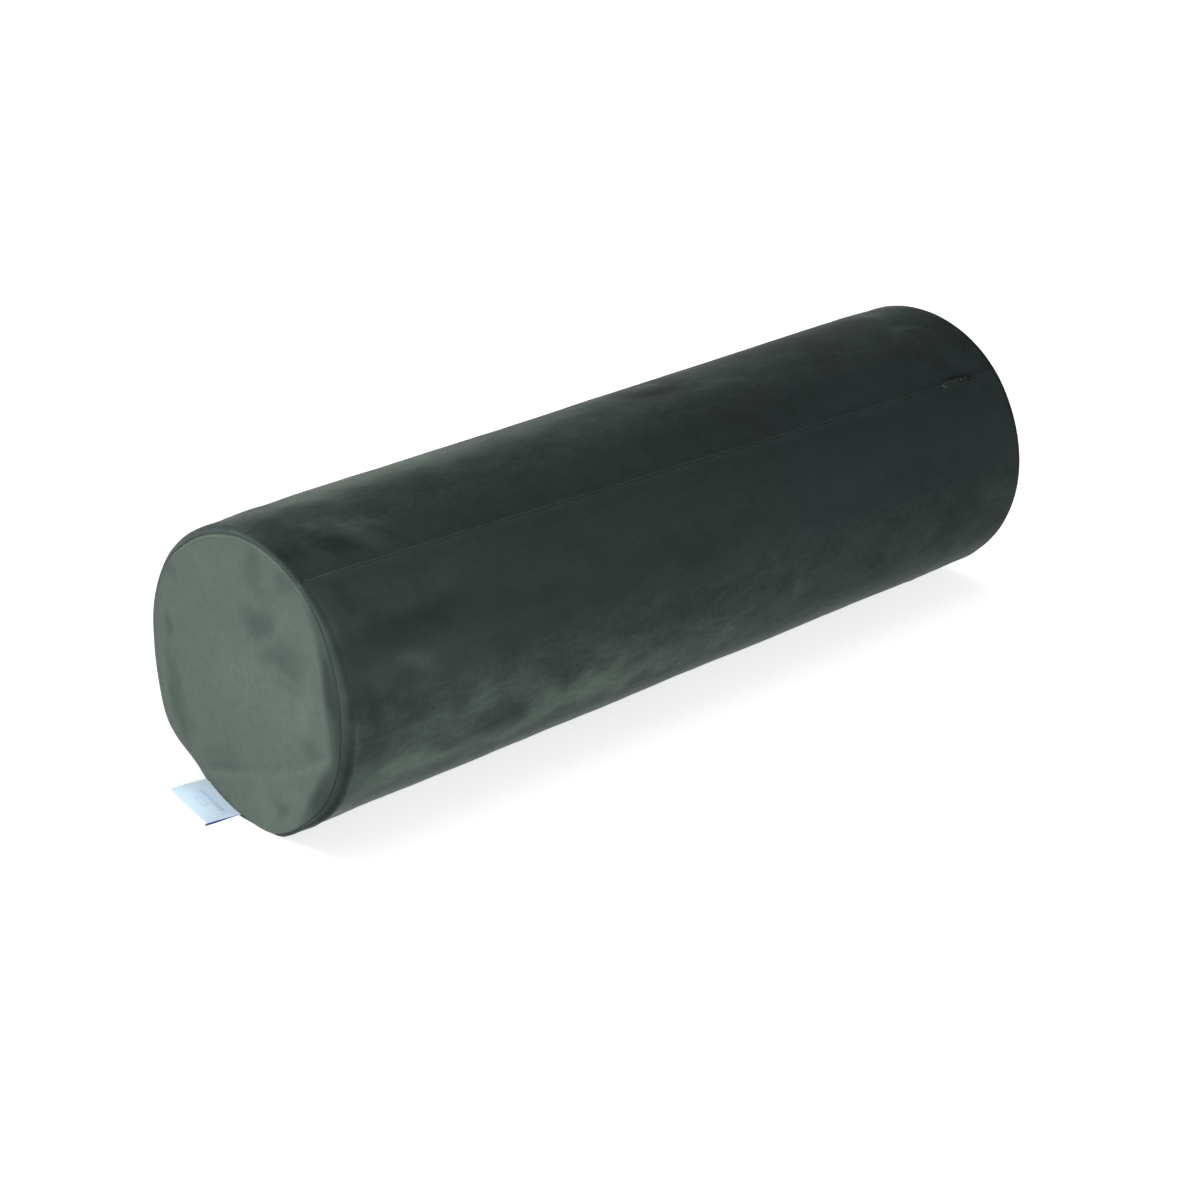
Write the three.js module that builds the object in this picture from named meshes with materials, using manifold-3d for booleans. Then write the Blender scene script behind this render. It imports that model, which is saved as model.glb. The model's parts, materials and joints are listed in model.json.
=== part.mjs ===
// Bolster pillow, 15 x 50 cm: a foam roll in a knitted liner, inside a zipped velvet cover.
//
// Millimetres, +Z up. The roll lies along X, on the flat strip that its weight presses into it, and the
// origin is the middle of that strip. The near end, with the side label, is at -X; the front is at -Y.
// Angles round the roll run from the top (+Z) towards the front (-Y).
import * as THREE from "three";
import { mergeVertices } from "three/addons/utils/BufferGeometryUtils.js";
import Module from "manifold-3d";

const wasm = await Module();
wasm.setup();

const rad = THREE.MathUtils.degToRad;

// ---------------------------------------------------------------- driving dimensions

const OUTER_DIAMETER = 154;
const OUTER_LENGTH = 499;
const REST_STRIP_WIDTH = 24; // the flat that the roll rests on
const GAP = 0.3; // kept between pieces that touch

const VELVET = 1.2; // thickness, pile included
const LINER = 0.6;
const TAPE = 0.5;
const THREAD = 0.6;

const SEAM_ALLOWANCE = 10; // turned in at both ends
const ZIP_ALLOWANCE = 12; // turned in along the zip

const SEAM_ANGLE = 40.7; // of the long seam, half way along
const SEAM_TWIST = 12.8; // how far the seam wanders round the roll from end to end
const SLIT = 1.8; // between the two folded edges of the long seam
const SLIT_PAST_STOP = 6; // how far the slit runs on past the zip's stops
const FOLD_SHORT = 2; // how far short of the end panels the folds beside the zip stop
const END_THREAD_INSET = 1; // of the end seam's thread, in from the end panel

const ZIP_LENGTH = 450; // over the stops
const COIL = { inner: 0.9, outer: 2.4, height: 1.2 };
const STOP_LENGTH = 3;
const STOP_OVERHANG = 0.3; // of the stops past the coils
const TAPE_TAIL = 8; // tape past the stops
const SLIDER_REST = 218; // x of the slider when the zip is closed

// The slider's parts. Radii are from the roll's axis, and heights are above the roll.
const SLIDER_RADIUS = 75; // of the slider's origin
const PLATE = { topRadius: 70.5, thickness: 0.8, halfLength: 4.5, halfWidth: 3.8 };
const CHEEK = { topRadius: 72.0, thickness: 0.7 };
const NECK = { halfLength: 3, halfWidth: 0.3 };
const CROWN = { bottomHeight: 0.5, topHeight: 1.0, halfLength: 4, halfWidth: 1.8 };
const PIVOT = { height: 1.65, room: 0.65 }; // of the pull's bar, and the room round it
const ARCH = { halfLength: 2.6, post: 0.8, halfWidth: 0.6, thickness: 0.5 };
const PART_OVERLAP = 0.2; // of the slider's parts where they join

// The pull: its end bar, a window, a waist and a wider rounded tip.
const PULL = { length: 17, thickness: 0.8, bar: 0.8, rootHalf: 1.9, waistHalf: 1.7, tipHalf: 2.3 };
const PULL_WAIST = 5; // from the pivot to the waist
const PULL_TIP = 4; // length of the rounded tip
const PULL_WINDOW = { length: 3.4, halfWidth: 1.2 };

const CORE_TAPER = { length: 24, drop: 7 }; // the soft ends give way to the end seams
const ZIP_DENT = { besideTape: 3, besideCoil: 3, underCoil: 2.6, flare: 2, overrun: 5 };

const LABEL = { width: 30, length: 23, ply: 0.25, bulge: 0.9, between: 0.05 };
const LABEL_PLACE = { radius: 74, angle: -162, lift: 4, outside: 0.8 };
const LABEL_CURVE = { outer: 0.6, inner: 0.65, opening: 0.35 }; // shares of the label's length

const SEGMENTS = 36; // half the number of facets round the roll
const SMALL_SEGMENTS = 6; // facets of each small curve
const SEAM_STEP = 60; // longest straight stretch of a piece that follows the seam
const STRIP_STEPS = 4; // facets across a strip beside the seam
const THROUGH = 2; // how far a cut reaches past what it cuts
const WELD = 1e-4;

// ---------------------------------------------------------------- worked out from those

const R = OUTER_DIAMETER / 2;
const HALF = OUTER_LENGTH / 2;
const SAG = R - Math.sqrt(R ** 2 - (REST_STRIP_WIDTH / 2) ** 2);
const AXIS_HEIGHT = R - SAG;

// Radii of the layers, from the outside in.
const WALL_MIDDLE = R - VELVET / 2;
const WALL_INSIDE = R - VELVET;
const FOLD_OUTSIDE = WALL_INSIDE - GAP; // the turned-in edge of the body panel
const FOLD_INSIDE = FOLD_OUTSIDE - VELVET;
const THREAD_OUTSIDE = FOLD_INSIDE - GAP;
const THREAD_INSIDE = THREAD_OUTSIDE - THREAD;
const END_RADIUS = THREAD_INSIDE - GAP; // the end panel and its turned-in edge
const TAPE_OUTSIDE = THREAD_INSIDE - GAP;
const TAPE_INSIDE = TAPE_OUTSIDE - TAPE;
const COIL_OUTSIDE = TAPE_INSIDE - GAP;
const COIL_INSIDE = COIL_OUTSIDE - COIL.height;
const LINER_OUTSIDE = WALL_INSIDE - GAP;
const CORE_RADIUS = LINER_OUTSIDE - LINER - GAP;

const LINER_HALF = HALF - VELVET - GAP;
const CORE_HALF = LINER_HALF - LINER - GAP;

const ZIP_HALF = ZIP_LENGTH / 2;
const SLIDER_END = -SLIDER_REST;
const STOP_HALF = COIL.outer + STOP_OVERHANG;

// ---------------------------------------------------------------- materials

const finish = (color, roughness, metalness = 0) =>
  new THREE.MeshStandardMaterial({ color, roughness, metalness });

const MATERIALS = {
  velvet: finish(0x33403b, 0.85),
  foam: finish(0xe8e2cf, 0.95),
  liner: finish(0xf1efe9, 0.9),
  tape: finish(0x2b3632, 0.8),
  nylon: finish(0x27312d, 0.45),
  metal: finish(0x2a342f, 0.4, 0.6),
  thread: finish(0x2f3a36, 0.7),
  satin: finish(0xdcecf6, 0.35),
};

// ---------------------------------------------------------------- solids

function solidOf(geometry) {
  const bare = new THREE.BufferGeometry();
  bare.setAttribute("position", geometry.getAttribute("position"));
  if (geometry.index) bare.setIndex(geometry.index);
  const merged = mergeVertices(bare, WELD);
  const mesh = new wasm.Mesh({
    numProp: 3,
    vertProperties: merged.getAttribute("position").array,
    triVerts: new Uint32Array(merged.index.array),
  });
  return new wasm.Manifold(mesh);
}

function geometryOf(solid) {
  const mesh = solid.getMesh();
  const geometry = new THREE.BufferGeometry();
  geometry.setAttribute("position", new THREE.BufferAttribute(mesh.vertProperties, 3));
  geometry.setIndex(new THREE.BufferAttribute(mesh.triVerts, 1));
  geometry.computeVertexNormals();
  return geometry;
}

const join = (...geometries) =>
  geometryOf(geometries.map(solidOf).reduce((a, b) => a.add(b)));

const cut = (geometry, ...tools) =>
  geometryOf(tools.map(solidOf).reduce((a, b) => a.subtract(b), solidOf(geometry)));

// ---------------------------------------------------------------- sections across the roll

// A circle round the roll's axis with the resting strip pressed flat, in the (Y, Z) plane.
function pressedCircle(path, radius) {
  const half = Math.acos((radius - SAG) / radius);
  path.absarc(0, AXIS_HEIGHT, radius, half - Math.PI / 2, 1.5 * Math.PI - half, false);
  return path;
}

function disc(radius) {
  return pressedCircle(new THREE.Shape(), radius);
}

function ring(outside, inside) {
  const shape = disc(outside);
  shape.holes.push(pressedCircle(new THREE.Path(), inside));
  return shape;
}

// A section from (u, r) points beside the long seam: u is the distance round the roll from the slit,
// positive towards the front, and r the distance from the roll's axis.
function besideSeam(points) {
  const place = ([u, r]) => {
    const angle = rad(90 + SEAM_ANGLE) + u / R;
    return new THREE.Vector2(r * Math.cos(angle), AXIS_HEIGHT + r * Math.sin(angle));
  };
  return new THREE.Shape(points.map(place));
}

// A strip that follows the roll's curve between two distances from the slit, as (u, r) points.
function strip(nearEdge, farEdge, outside, inside) {
  const at = (i) => nearEdge + ((farEdge - nearEdge) * i) / STRIP_STEPS;
  const out = Array.from({ length: STRIP_STEPS + 1 }, (_, i) => [at(i), outside]);
  const back = Array.from({ length: STRIP_STEPS + 1 }, (_, i) => [at(STRIP_STEPS - i), inside]);
  return [...out, ...back];
}

// ---------------------------------------------------------------- lengths along the roll

// Shape x and y become Y and Z, and the extrusion runs along X.
const ALONG_X = new THREE.Matrix4().makeBasis(
  new THREE.Vector3(0, 1, 0),
  new THREE.Vector3(0, 0, 1),
  new THREE.Vector3(1, 0, 0),
);

function alongX(shape, from, to, options = {}) {
  const geometry = new THREE.ExtrudeGeometry(shape, {
    depth: to - from,
    bevelEnabled: false,
    curveSegments: SEGMENTS,
    ...options,
  });
  return geometry.applyMatrix4(ALONG_X).translate(from, 0, 0);
}

// A solid roll whose ends taper, as the soft core does under the end seams.
function taperedRoll(radius, halfLength) {
  const straight = halfLength - CORE_TAPER.length;
  return alongX(disc(radius), -straight, straight, {
    bevelEnabled: true,
    bevelSegments: 1,
    bevelThickness: CORE_TAPER.length,
    bevelSize: CORE_TAPER.drop,
    bevelOffset: -CORE_TAPER.drop,
  });
}

const seamAngleAt = (x) => SEAM_ANGLE + (SEAM_TWIST * x) / OUTER_LENGTH;

// Turns each point of a seam piece round the roll's axis, so that the piece follows the seam.
function alongSeam(shape, from, to) {
  const geometry = alongX(shape, from, to, { steps: Math.ceil((to - from) / SEAM_STEP) });
  const position = geometry.getAttribute("position");
  const point = new THREE.Vector3();
  const axis = new THREE.Vector3(1, 0, 0);
  for (let i = 0; i < position.count; i++) {
    point.fromBufferAttribute(position, i).setZ(position.getZ(i) - AXIS_HEIGHT);
    point.applyAxisAngle(axis, rad(seamAngleAt(point.x) - SEAM_ANGLE));
    position.setXYZ(i, point.x, point.y, point.z + AXIS_HEIGHT);
  }
  return geometry;
}

// ---------------------------------------------------------------- core and liner

// The dent that the zip presses into the core: a wide one for the tapes, a deep one for the slider.
function zipDent(grow) {
  const wide = ZIP_ALLOWANCE + ZIP_DENT.besideTape + grow;
  const narrow = COIL.outer + ZIP_DENT.besideCoil + grow;
  const shelf = TAPE_INSIDE - GAP - grow;
  const floor = COIL_INSIDE - ZIP_DENT.underCoil - grow;
  const end = HALF + ZIP_DENT.overrun;
  const section = [
    [-wide - ZIP_DENT.flare, R + THROUGH],
    [-wide, shelf],
    [-narrow, shelf],
    [-narrow, floor],
    [narrow, floor],
    [narrow, shelf],
    [wide, shelf],
    [wide + ZIP_DENT.flare, R + THROUGH],
  ];
  return alongSeam(besideSeam(section.reverse()), -end, end);
}

function foamCore() {
  return cut(taperedRoll(CORE_RADIUS, CORE_HALF), zipDent(LINER + GAP));
}

function linerBody() {
  const outside = cut(taperedRoll(LINER_OUTSIDE, LINER_HALF), zipDent(0));
  const mouth = LINER_OUTSIDE - LINER - CORE_TAPER.drop;
  const room = join(
    taperedRoll(LINER_OUTSIDE - LINER, LINER_HALF),
    alongX(disc(mouth), -HALF, HALF),
  );
  return cut(outside, cut(room, zipDent(LINER)));
}

function linerEnd(side) {
  const radius = LINER_OUTSIDE - LINER - CORE_TAPER.drop - GAP;
  const inner = side * (LINER_HALF - LINER);
  const outer = side * LINER_HALF;
  const plain = alongX(disc(radius), Math.min(inner, outer), Math.max(inner, outer));
  return cut(plain, zipDent(LINER + GAP));
}

// ---------------------------------------------------------------- velvet cover

// The folded edge on one side of the slit: out through the wall, then back under it.
function zipFold(side) {
  const slit = SLIT / 2;
  const section = [
    [slit, WALL_MIDDLE],
    [slit, FOLD_INSIDE],
    ...strip(slit + VELVET, slit + ZIP_ALLOWANCE, FOLD_INSIDE, FOLD_OUTSIDE),
    [slit + VELVET, WALL_MIDDLE],
  ].map(([u, r]) => [side * u, r]);
  const far = HALF - SEAM_ALLOWANCE - VELVET - GAP - FOLD_SHORT;
  return alongSeam(besideSeam(side > 0 ? section : section.reverse()), -far, far);
}

// The edge turned in at one end: a rim across the wall, and a cuff under it.
function endFold(side) {
  const face = side * HALF;
  const rim = side * (HALF - VELVET);
  const cuff = side * (HALF - SEAM_ALLOWANCE);
  return join(
    alongX(ring(R, FOLD_INSIDE), Math.min(face, rim), Math.max(face, rim)),
    alongX(ring(FOLD_OUTSIDE, FOLD_INSIDE), Math.min(face, cuff), Math.max(face, cuff)),
  );
}

function coverBodyPanel() {
  const slit = [
    [-SLIT / 2, R + THROUGH],
    [-SLIT / 2, FOLD_INSIDE - THROUGH],
    [SLIT / 2, FOLD_INSIDE - THROUGH],
    [SLIT / 2, R + THROUGH],
  ];
  const slitEnd = ZIP_HALF + SLIT_PAST_STOP;
  const wall = alongX(ring(R, WALL_INSIDE), -HALF, HALF);
  const whole = join(wall, zipFold(1), zipFold(-1), endFold(1), endFold(-1));
  return cut(whole, alongSeam(besideSeam(slit), -slitEnd, slitEnd));
}

function coverEndPanel(side) {
  const face = side * HALF;
  const back = side * (HALF - VELVET);
  const skirt = side * (HALF - SEAM_ALLOWANCE);
  return join(
    alongX(disc(END_RADIUS), Math.min(face, back), Math.max(face, back)),
    alongX(ring(END_RADIUS, END_RADIUS - VELVET), Math.min(face, skirt), Math.max(face, skirt)),
  );
}

function endSeamThread(side) {
  const middle = side * (HALF - VELVET - END_THREAD_INSET);
  return alongX(ring(THREAD_OUTSIDE, THREAD_INSIDE), middle - THREAD / 2, middle + THREAD / 2);
}

// ---------------------------------------------------------------- zip

const zipStrip = (side, nearEdge, farEdge, outside, inside, from, to) => {
  const section = strip(side * nearEdge, side * farEdge, inside, outside);
  return alongSeam(besideSeam(side > 0 ? section : section.reverse()), from, to);
};

function zipTape(side) {
  const end = ZIP_HALF + TAPE_TAIL;
  return zipStrip(side, COIL.inner, COIL.inner + ZIP_ALLOWANCE, TAPE_OUTSIDE, TAPE_INSIDE, -end, end);
}

function zipCoil(side) {
  const end = ZIP_HALF - STOP_LENGTH - GAP;
  return zipStrip(side, COIL.inner, COIL.outer, COIL_OUTSIDE, COIL_INSIDE, -end, end);
}

function zipSeamThread(side) {
  const line = ZIP_ALLOWANCE / 2;
  const end = ZIP_HALF + TAPE_TAIL / 2;
  return zipStrip(side, line, line + THREAD, THREAD_OUTSIDE, THREAD_INSIDE, -end, end);
}

function zipTopStop(side) {
  const from = ZIP_HALF - STOP_LENGTH;
  return zipStrip(side, COIL.inner, STOP_HALF, COIL_OUTSIDE, COIL_INSIDE, from, ZIP_HALF);
}

function zipBottomStop() {
  const section = strip(-STOP_HALF, STOP_HALF, COIL_INSIDE, COIL_OUTSIDE);
  return alongSeam(besideSeam(section), -ZIP_HALF, -ZIP_HALF + STOP_LENGTH);
}

// The slider runs in a straight line between two points of the seam, so its own frame has x along that
// line, z out of the roll half way along it, and its origin at SLIDER_RADIUS.
function onSeam(x, radius) {
  const angle = rad(seamAngleAt(x));
  return new THREE.Vector3(x, -radius * Math.sin(angle), AXIS_HEIGHT + radius * Math.cos(angle));
}

function sliderFrame() {
  const start = onSeam(SLIDER_REST, SLIDER_RADIUS);
  const along = start.clone().sub(onSeam(SLIDER_END, SLIDER_RADIUS)).normalize();
  const out = new THREE.Vector3(0, -Math.sin(rad(SEAM_ANGLE)), Math.cos(rad(SEAM_ANGLE)));
  const across = out.clone().cross(along).normalize();
  out.crossVectors(along, across);
  return new THREE.Matrix4().makeBasis(along, across, out).setPosition(start);
}

// Boxes in the slider's frame: half-length, half-width, and the radii between which it stands.
function block(halfLength, halfWidth, inside, outside, x = 0, y = 0) {
  return new THREE.BoxGeometry(2 * halfLength, 2 * halfWidth, outside - inside).translate(
    x,
    y,
    (inside + outside) / 2 - SLIDER_RADIUS,
  );
}

function zipSlider() {
  const crownBottom = R + CROWN.bottomHeight;
  const crownTop = R + CROWN.topHeight;
  const archInside = R + PIVOT.height + PIVOT.room;
  const archOutside = archInside + ARCH.thickness;
  const post = ARCH.halfLength - ARCH.post / 2;
  const cheek = PLATE.halfWidth - CHEEK.thickness / 2;
  const buried = PLATE.topRadius - PART_OVERLAP;
  return join(
    block(PLATE.halfLength, PLATE.halfWidth, PLATE.topRadius - PLATE.thickness, PLATE.topRadius),
    ...[1, -1].map((side) =>
      block(PLATE.halfLength, CHEEK.thickness / 2, buried, CHEEK.topRadius, 0, side * cheek),
    ),
    block(NECK.halfLength, NECK.halfWidth, buried, crownBottom + PART_OVERLAP),
    block(CROWN.halfLength, CROWN.halfWidth, crownBottom, crownTop),
    ...[1, -1].map((end) =>
      block(ARCH.post / 2, ARCH.halfWidth, crownTop - PART_OVERLAP, archOutside, end * post),
    ),
    block(ARCH.halfLength, ARCH.halfWidth, archInside, archOutside),
  );
}

// A teardrop tab with a window, whose end bar lies under the slider's arch.
function zipPull() {
  const back = PULL.bar / 2;
  const tip = back - PULL.length;
  const shoulder = tip + PULL_TIP;
  const shape = new THREE.Shape();
  shape.moveTo(back, -PULL.rootHalf);
  shape.lineTo(back, PULL.rootHalf);
  shape.quadraticCurveTo(-PULL_WAIST, PULL.waistHalf, shoulder, PULL.tipHalf);
  shape.quadraticCurveTo(tip, PULL.tipHalf, tip, 0);
  shape.quadraticCurveTo(tip, -PULL.tipHalf, shoulder, -PULL.tipHalf);
  shape.quadraticCurveTo(-PULL_WAIST, -PULL.waistHalf, back, -PULL.rootHalf);
  const window = new THREE.Path();
  window.moveTo(-back, -PULL_WINDOW.halfWidth);
  window.lineTo(-back - PULL_WINDOW.length, -PULL_WINDOW.halfWidth);
  window.lineTo(-back - PULL_WINDOW.length, PULL_WINDOW.halfWidth);
  window.lineTo(-back, PULL_WINDOW.halfWidth);
  shape.holes.push(window);
  const plate = new THREE.ExtrudeGeometry(shape, {
    depth: PULL.thickness,
    bevelEnabled: false,
    curveSegments: SMALL_SEGMENTS,
  });
  return plate.translate(0, 0, R + PIVOT.height - PULL.thickness / 2 - SLIDER_RADIUS);
}

// ---------------------------------------------------------------- side label

// A folded loop of ribbon: two plies that part a little towards the fold. Its frame has x away from the
// end of the roll, y across the label and z out of the roll, with the origin where the label turns.
function sideLabel() {
  const { width, length, ply, bulge, between } = LABEL;
  const outside = ply + between;
  const outerBend = length * LABEL_CURVE.outer;
  const shape = new THREE.Shape();
  shape.moveTo(0, -outside);
  shape.quadraticCurveTo(outerBend, -outside, length - bulge, -bulge);
  shape.absarc(length - bulge, 0, bulge, -Math.PI / 2, Math.PI / 2, false);
  shape.quadraticCurveTo(outerBend, outside, 0, outside);
  const inside = bulge - ply;
  const opening = length * LABEL_CURVE.opening;
  const innerBend = length * LABEL_CURVE.inner;
  const room = new THREE.Path();
  room.moveTo(opening, -between);
  room.quadraticCurveTo(innerBend, -2 * between, length - bulge, -inside);
  room.absarc(length - bulge, 0, inside, -Math.PI / 2, Math.PI / 2, false);
  room.quadraticCurveTo(innerBend, 2 * between, opening, between);
  shape.holes.push(room);
  const loop = new THREE.ExtrudeGeometry(shape, {
    depth: width,
    bevelEnabled: false,
    curveSegments: SMALL_SEGMENTS,
  });
  // Shape x stays along the label, shape y becomes z and the extrusion runs across the label.
  return loop.translate(0, 0, -width / 2).rotateX(Math.PI / 2);
}

function labelFrame() {
  const angle = rad(LABEL_PLACE.angle);
  const out = new THREE.Vector3(0, -Math.sin(angle), Math.cos(angle));
  const away = new THREE.Vector3(-1, 0, 0);
  const across = out.clone().cross(away);
  const origin = out.clone().multiplyScalar(LABEL_PLACE.radius);
  origin.x = -HALF - LABEL_PLACE.outside;
  origin.z += AXIS_HEIGHT;
  away.applyAxisAngle(across, rad(LABEL_PLACE.lift));
  out.applyAxisAngle(across, rad(LABEL_PLACE.lift));
  return new THREE.Matrix4().makeBasis(away, across, out).setPosition(origin);
}

// ---------------------------------------------------------------- assembly

const bolster = new THREE.Group();
bolster.name = "bolster_pillow";

function add(name, geometry, material, parent = bolster) {
  const mesh = new THREE.Mesh(geometry, MATERIALS[material]);
  mesh.name = name;
  parent.add(mesh);
}

function placed(matrix) {
  const group = new THREE.Group();
  group.applyMatrix4(matrix);
  bolster.add(group);
  return group;
}

add("foam_core", foamCore(), "foam");
add("liner_body", linerBody(), "liner");
add("cover_body_panel", coverBodyPanel(), "velvet");

for (const [end, side] of [["near", -1], ["far", 1]]) {
  add(`liner_end_${end}`, linerEnd(side), "liner");
  add(`cover_end_${end}`, coverEndPanel(side), "velvet");
  add(`end_seam_thread_${end}`, endSeamThread(side), "thread");
}

for (const [edge, side] of [["lower", 1], ["upper", -1]]) {
  add(`zip_tape_${edge}`, zipTape(side), "tape");
  add(`zip_coil_${edge}`, zipCoil(side), "nylon");
  add(`zip_seam_thread_${edge}`, zipSeamThread(side), "thread");
  add(`zip_top_stop_${edge}`, zipTopStop(side), "metal");
}
add("zip_bottom_stop", zipBottomStop(), "metal");

const slider = placed(sliderFrame());
add("zip_slider", zipSlider(), "metal", slider);
add("zip_pull", zipPull(), "metal", slider);

add("side_label", sideLabel(), "satin", placed(labelFrame()));

export default bolster;
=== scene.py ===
"""The looks of a bolster pillow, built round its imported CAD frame.

Metres, +Z up. The roll lies along X with its front at -Y, and the end with the side label is at -X. Places on
the roll are given as x along it and an angle round it, in degrees from the top towards the front. Sizes of
cloth are in millimetres where a name says so, and are turned into metres by MM.
"""
import json
import math

import bmesh
import bpy
import numpy as np
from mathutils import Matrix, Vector


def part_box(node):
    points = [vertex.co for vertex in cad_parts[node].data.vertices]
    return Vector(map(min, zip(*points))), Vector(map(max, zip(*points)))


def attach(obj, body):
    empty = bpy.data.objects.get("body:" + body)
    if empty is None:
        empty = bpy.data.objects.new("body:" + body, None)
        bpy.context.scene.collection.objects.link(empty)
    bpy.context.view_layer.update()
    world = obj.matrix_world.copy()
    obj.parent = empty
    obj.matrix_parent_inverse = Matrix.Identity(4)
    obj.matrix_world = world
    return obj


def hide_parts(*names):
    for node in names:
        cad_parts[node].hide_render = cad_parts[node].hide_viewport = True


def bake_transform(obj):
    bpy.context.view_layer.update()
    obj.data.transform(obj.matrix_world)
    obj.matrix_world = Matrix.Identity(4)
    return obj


MM = 0.001

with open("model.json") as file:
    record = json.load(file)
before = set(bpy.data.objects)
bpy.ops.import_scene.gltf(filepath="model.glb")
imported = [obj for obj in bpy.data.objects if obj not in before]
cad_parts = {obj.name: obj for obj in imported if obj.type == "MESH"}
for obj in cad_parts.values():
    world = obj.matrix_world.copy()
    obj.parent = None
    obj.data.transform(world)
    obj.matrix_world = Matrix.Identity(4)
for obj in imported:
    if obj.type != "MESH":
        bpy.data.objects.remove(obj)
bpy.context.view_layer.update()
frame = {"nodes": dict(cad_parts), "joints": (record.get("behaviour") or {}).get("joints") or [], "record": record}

# ---------------------------------------------------------------- the frame's sizes

body_low, body_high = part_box("cover_body_panel")
HALF = (body_high.x - body_low.x) / 2
R = (body_high.y - body_low.y) / 2
AXIS_Z = body_high.z - R
JOINTS = {joint["name"]: joint for joint in frame["joints"]}
VELVET = 1.2 * MM  # the cloth with its pile
SPACING = 3.3 * MM  # between the body panel's points
LINER = 0.6 * MM
CAP_TUCK = 5 * MM  # of the liner's ends, turned in all round
STOP_TO_SLIT_END = 7 * MM

ROOT, LABEL = "bolster", "label"


def box_centre(*nodes):
    corners = [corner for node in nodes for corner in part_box(node)]
    return sum(corners, Vector()) / len(corners)


def angle_at(point):
    return math.degrees(math.atan2(-point.y, point.z - AXIS_Z))


zip_far = box_centre("zip_top_stop_upper", "zip_top_stop_lower")
zip_near = box_centre("zip_bottom_stop")
SEAM_SLOPE = (angle_at(zip_far) - angle_at(zip_near)) / (zip_far.x - zip_near.x)
SLIT_END = zip_far.x + STOP_TO_SLIT_END


def seam_angle(x):
    """The long seam's angle, in degrees, at x."""
    return angle_at(zip_near) + SEAM_SLOPE * (x - zip_near.x)


# ---------------------------------------------------------------- camera and stage

CAMERA_AZIMUTH = -44.43
CAMERA_ELEVATION = 22.91
CAMERA_DISTANCE = 21.95 * R
CAMERA_TARGET = Vector((-0.139 * R, 0, AXIS_Z - 0.372 * R))
CAMERA_LENS = 94.8

WORLD_STRENGTH = 0.265
FLOOR_SIZE = 24
FLOOR_DROP = 0.2 * MM
FLOOR_COLOUR = (0.88, 0.88, 0.88)
FLOOR_GLOW = 0.78

# Round soft boxes: name, azimuth and elevation (degrees), power (watts), width and distance (metres).
ROLL_LIGHTS = [
    ("back_left", -120, 18, 83, 1.2, 2.2),
    ("left_low", -90, 6, 42, 0.8, 2.2),
    ("near_low", -65, 9, 16, 0.4, 1.0),
    ("back_high", 180, 40, 24, 1.2, 2.2),
]
FLOOR_LIGHT = ("overhead", 180, 86, 15, 2.2, 2.2)


def direction(azimuth, elevation):
    """The way from the roll to a camera or light of that azimuth and elevation, in degrees."""
    azimuth, elevation = math.radians(azimuth), math.radians(elevation)
    return Vector((math.sin(azimuth) * math.cos(elevation), -math.cos(azimuth) * math.cos(elevation),
                   math.sin(elevation)))


def hang(data, location, back):
    """Puts a camera or light at location, with its back turned that way."""
    obj = bpy.data.objects.new(data.name, data)
    obj.location = location
    obj.rotation_euler = (-back).to_track_quat("-Z", "Y").to_euler()
    bpy.context.scene.collection.objects.link(obj)
    return obj


def make_camera():
    back = direction(CAMERA_AZIMUTH, CAMERA_ELEVATION)
    data = bpy.data.cameras.new("camera")
    data.lens = CAMERA_LENS
    bpy.context.scene.camera = hang(data, CAMERA_TARGET + back * CAMERA_DISTANCE, back)


def make_light(name, azimuth, elevation, power, width, distance):
    back = direction(azimuth, elevation)
    data = bpy.data.lights.new(name, "AREA")
    data.shape = "DISK"
    data.size = width
    data.energy = power
    light = hang(data, back * distance, back)
    light.visible_camera = False
    return light


def light_only(light, obj, state):
    """Makes a light fall on nothing but obj (INCLUDE), or on everything else (EXCLUDE)."""
    group = bpy.data.collections.new(light.name + "_falls_on")
    group.objects.link(obj)
    group.collection_objects[0].light_linking.link_state = state
    light.light_linking.receiver_collection = group


def make_stage():
    world = bpy.data.worlds.new("studio")
    bpy.context.scene.world = world
    world.use_nodes = True
    world.node_tree.nodes["Background"].inputs["Color"].default_value = (1, 1, 1, 1)
    world.node_tree.nodes["Background"].inputs["Strength"].default_value = WORLD_STRENGTH

    bpy.ops.mesh.primitive_plane_add(size=FLOOR_SIZE, location=(0, 0, -FLOOR_DROP))
    floor = bpy.context.object
    floor.name = "floor"
    material, shader, _ = new_material("studio_floor", FLOOR_COLOUR, 0.9)
    shader.inputs["Specular IOR Level"].default_value = 0
    shader.inputs["Emission Color"].default_value = (1, 1, 1, 1)
    shader.inputs["Emission Strength"].default_value = FLOOR_GLOW
    floor.data.materials.append(material)
    bpy.context.scene.view_settings.view_transform = "Standard"

    for row in ROLL_LIGHTS:
        light_only(make_light(*row), floor, "EXCLUDE")
    light_only(make_light(*FLOOR_LIGHT), floor, "INCLUDE")


# ---------------------------------------------------------------- materials


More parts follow.
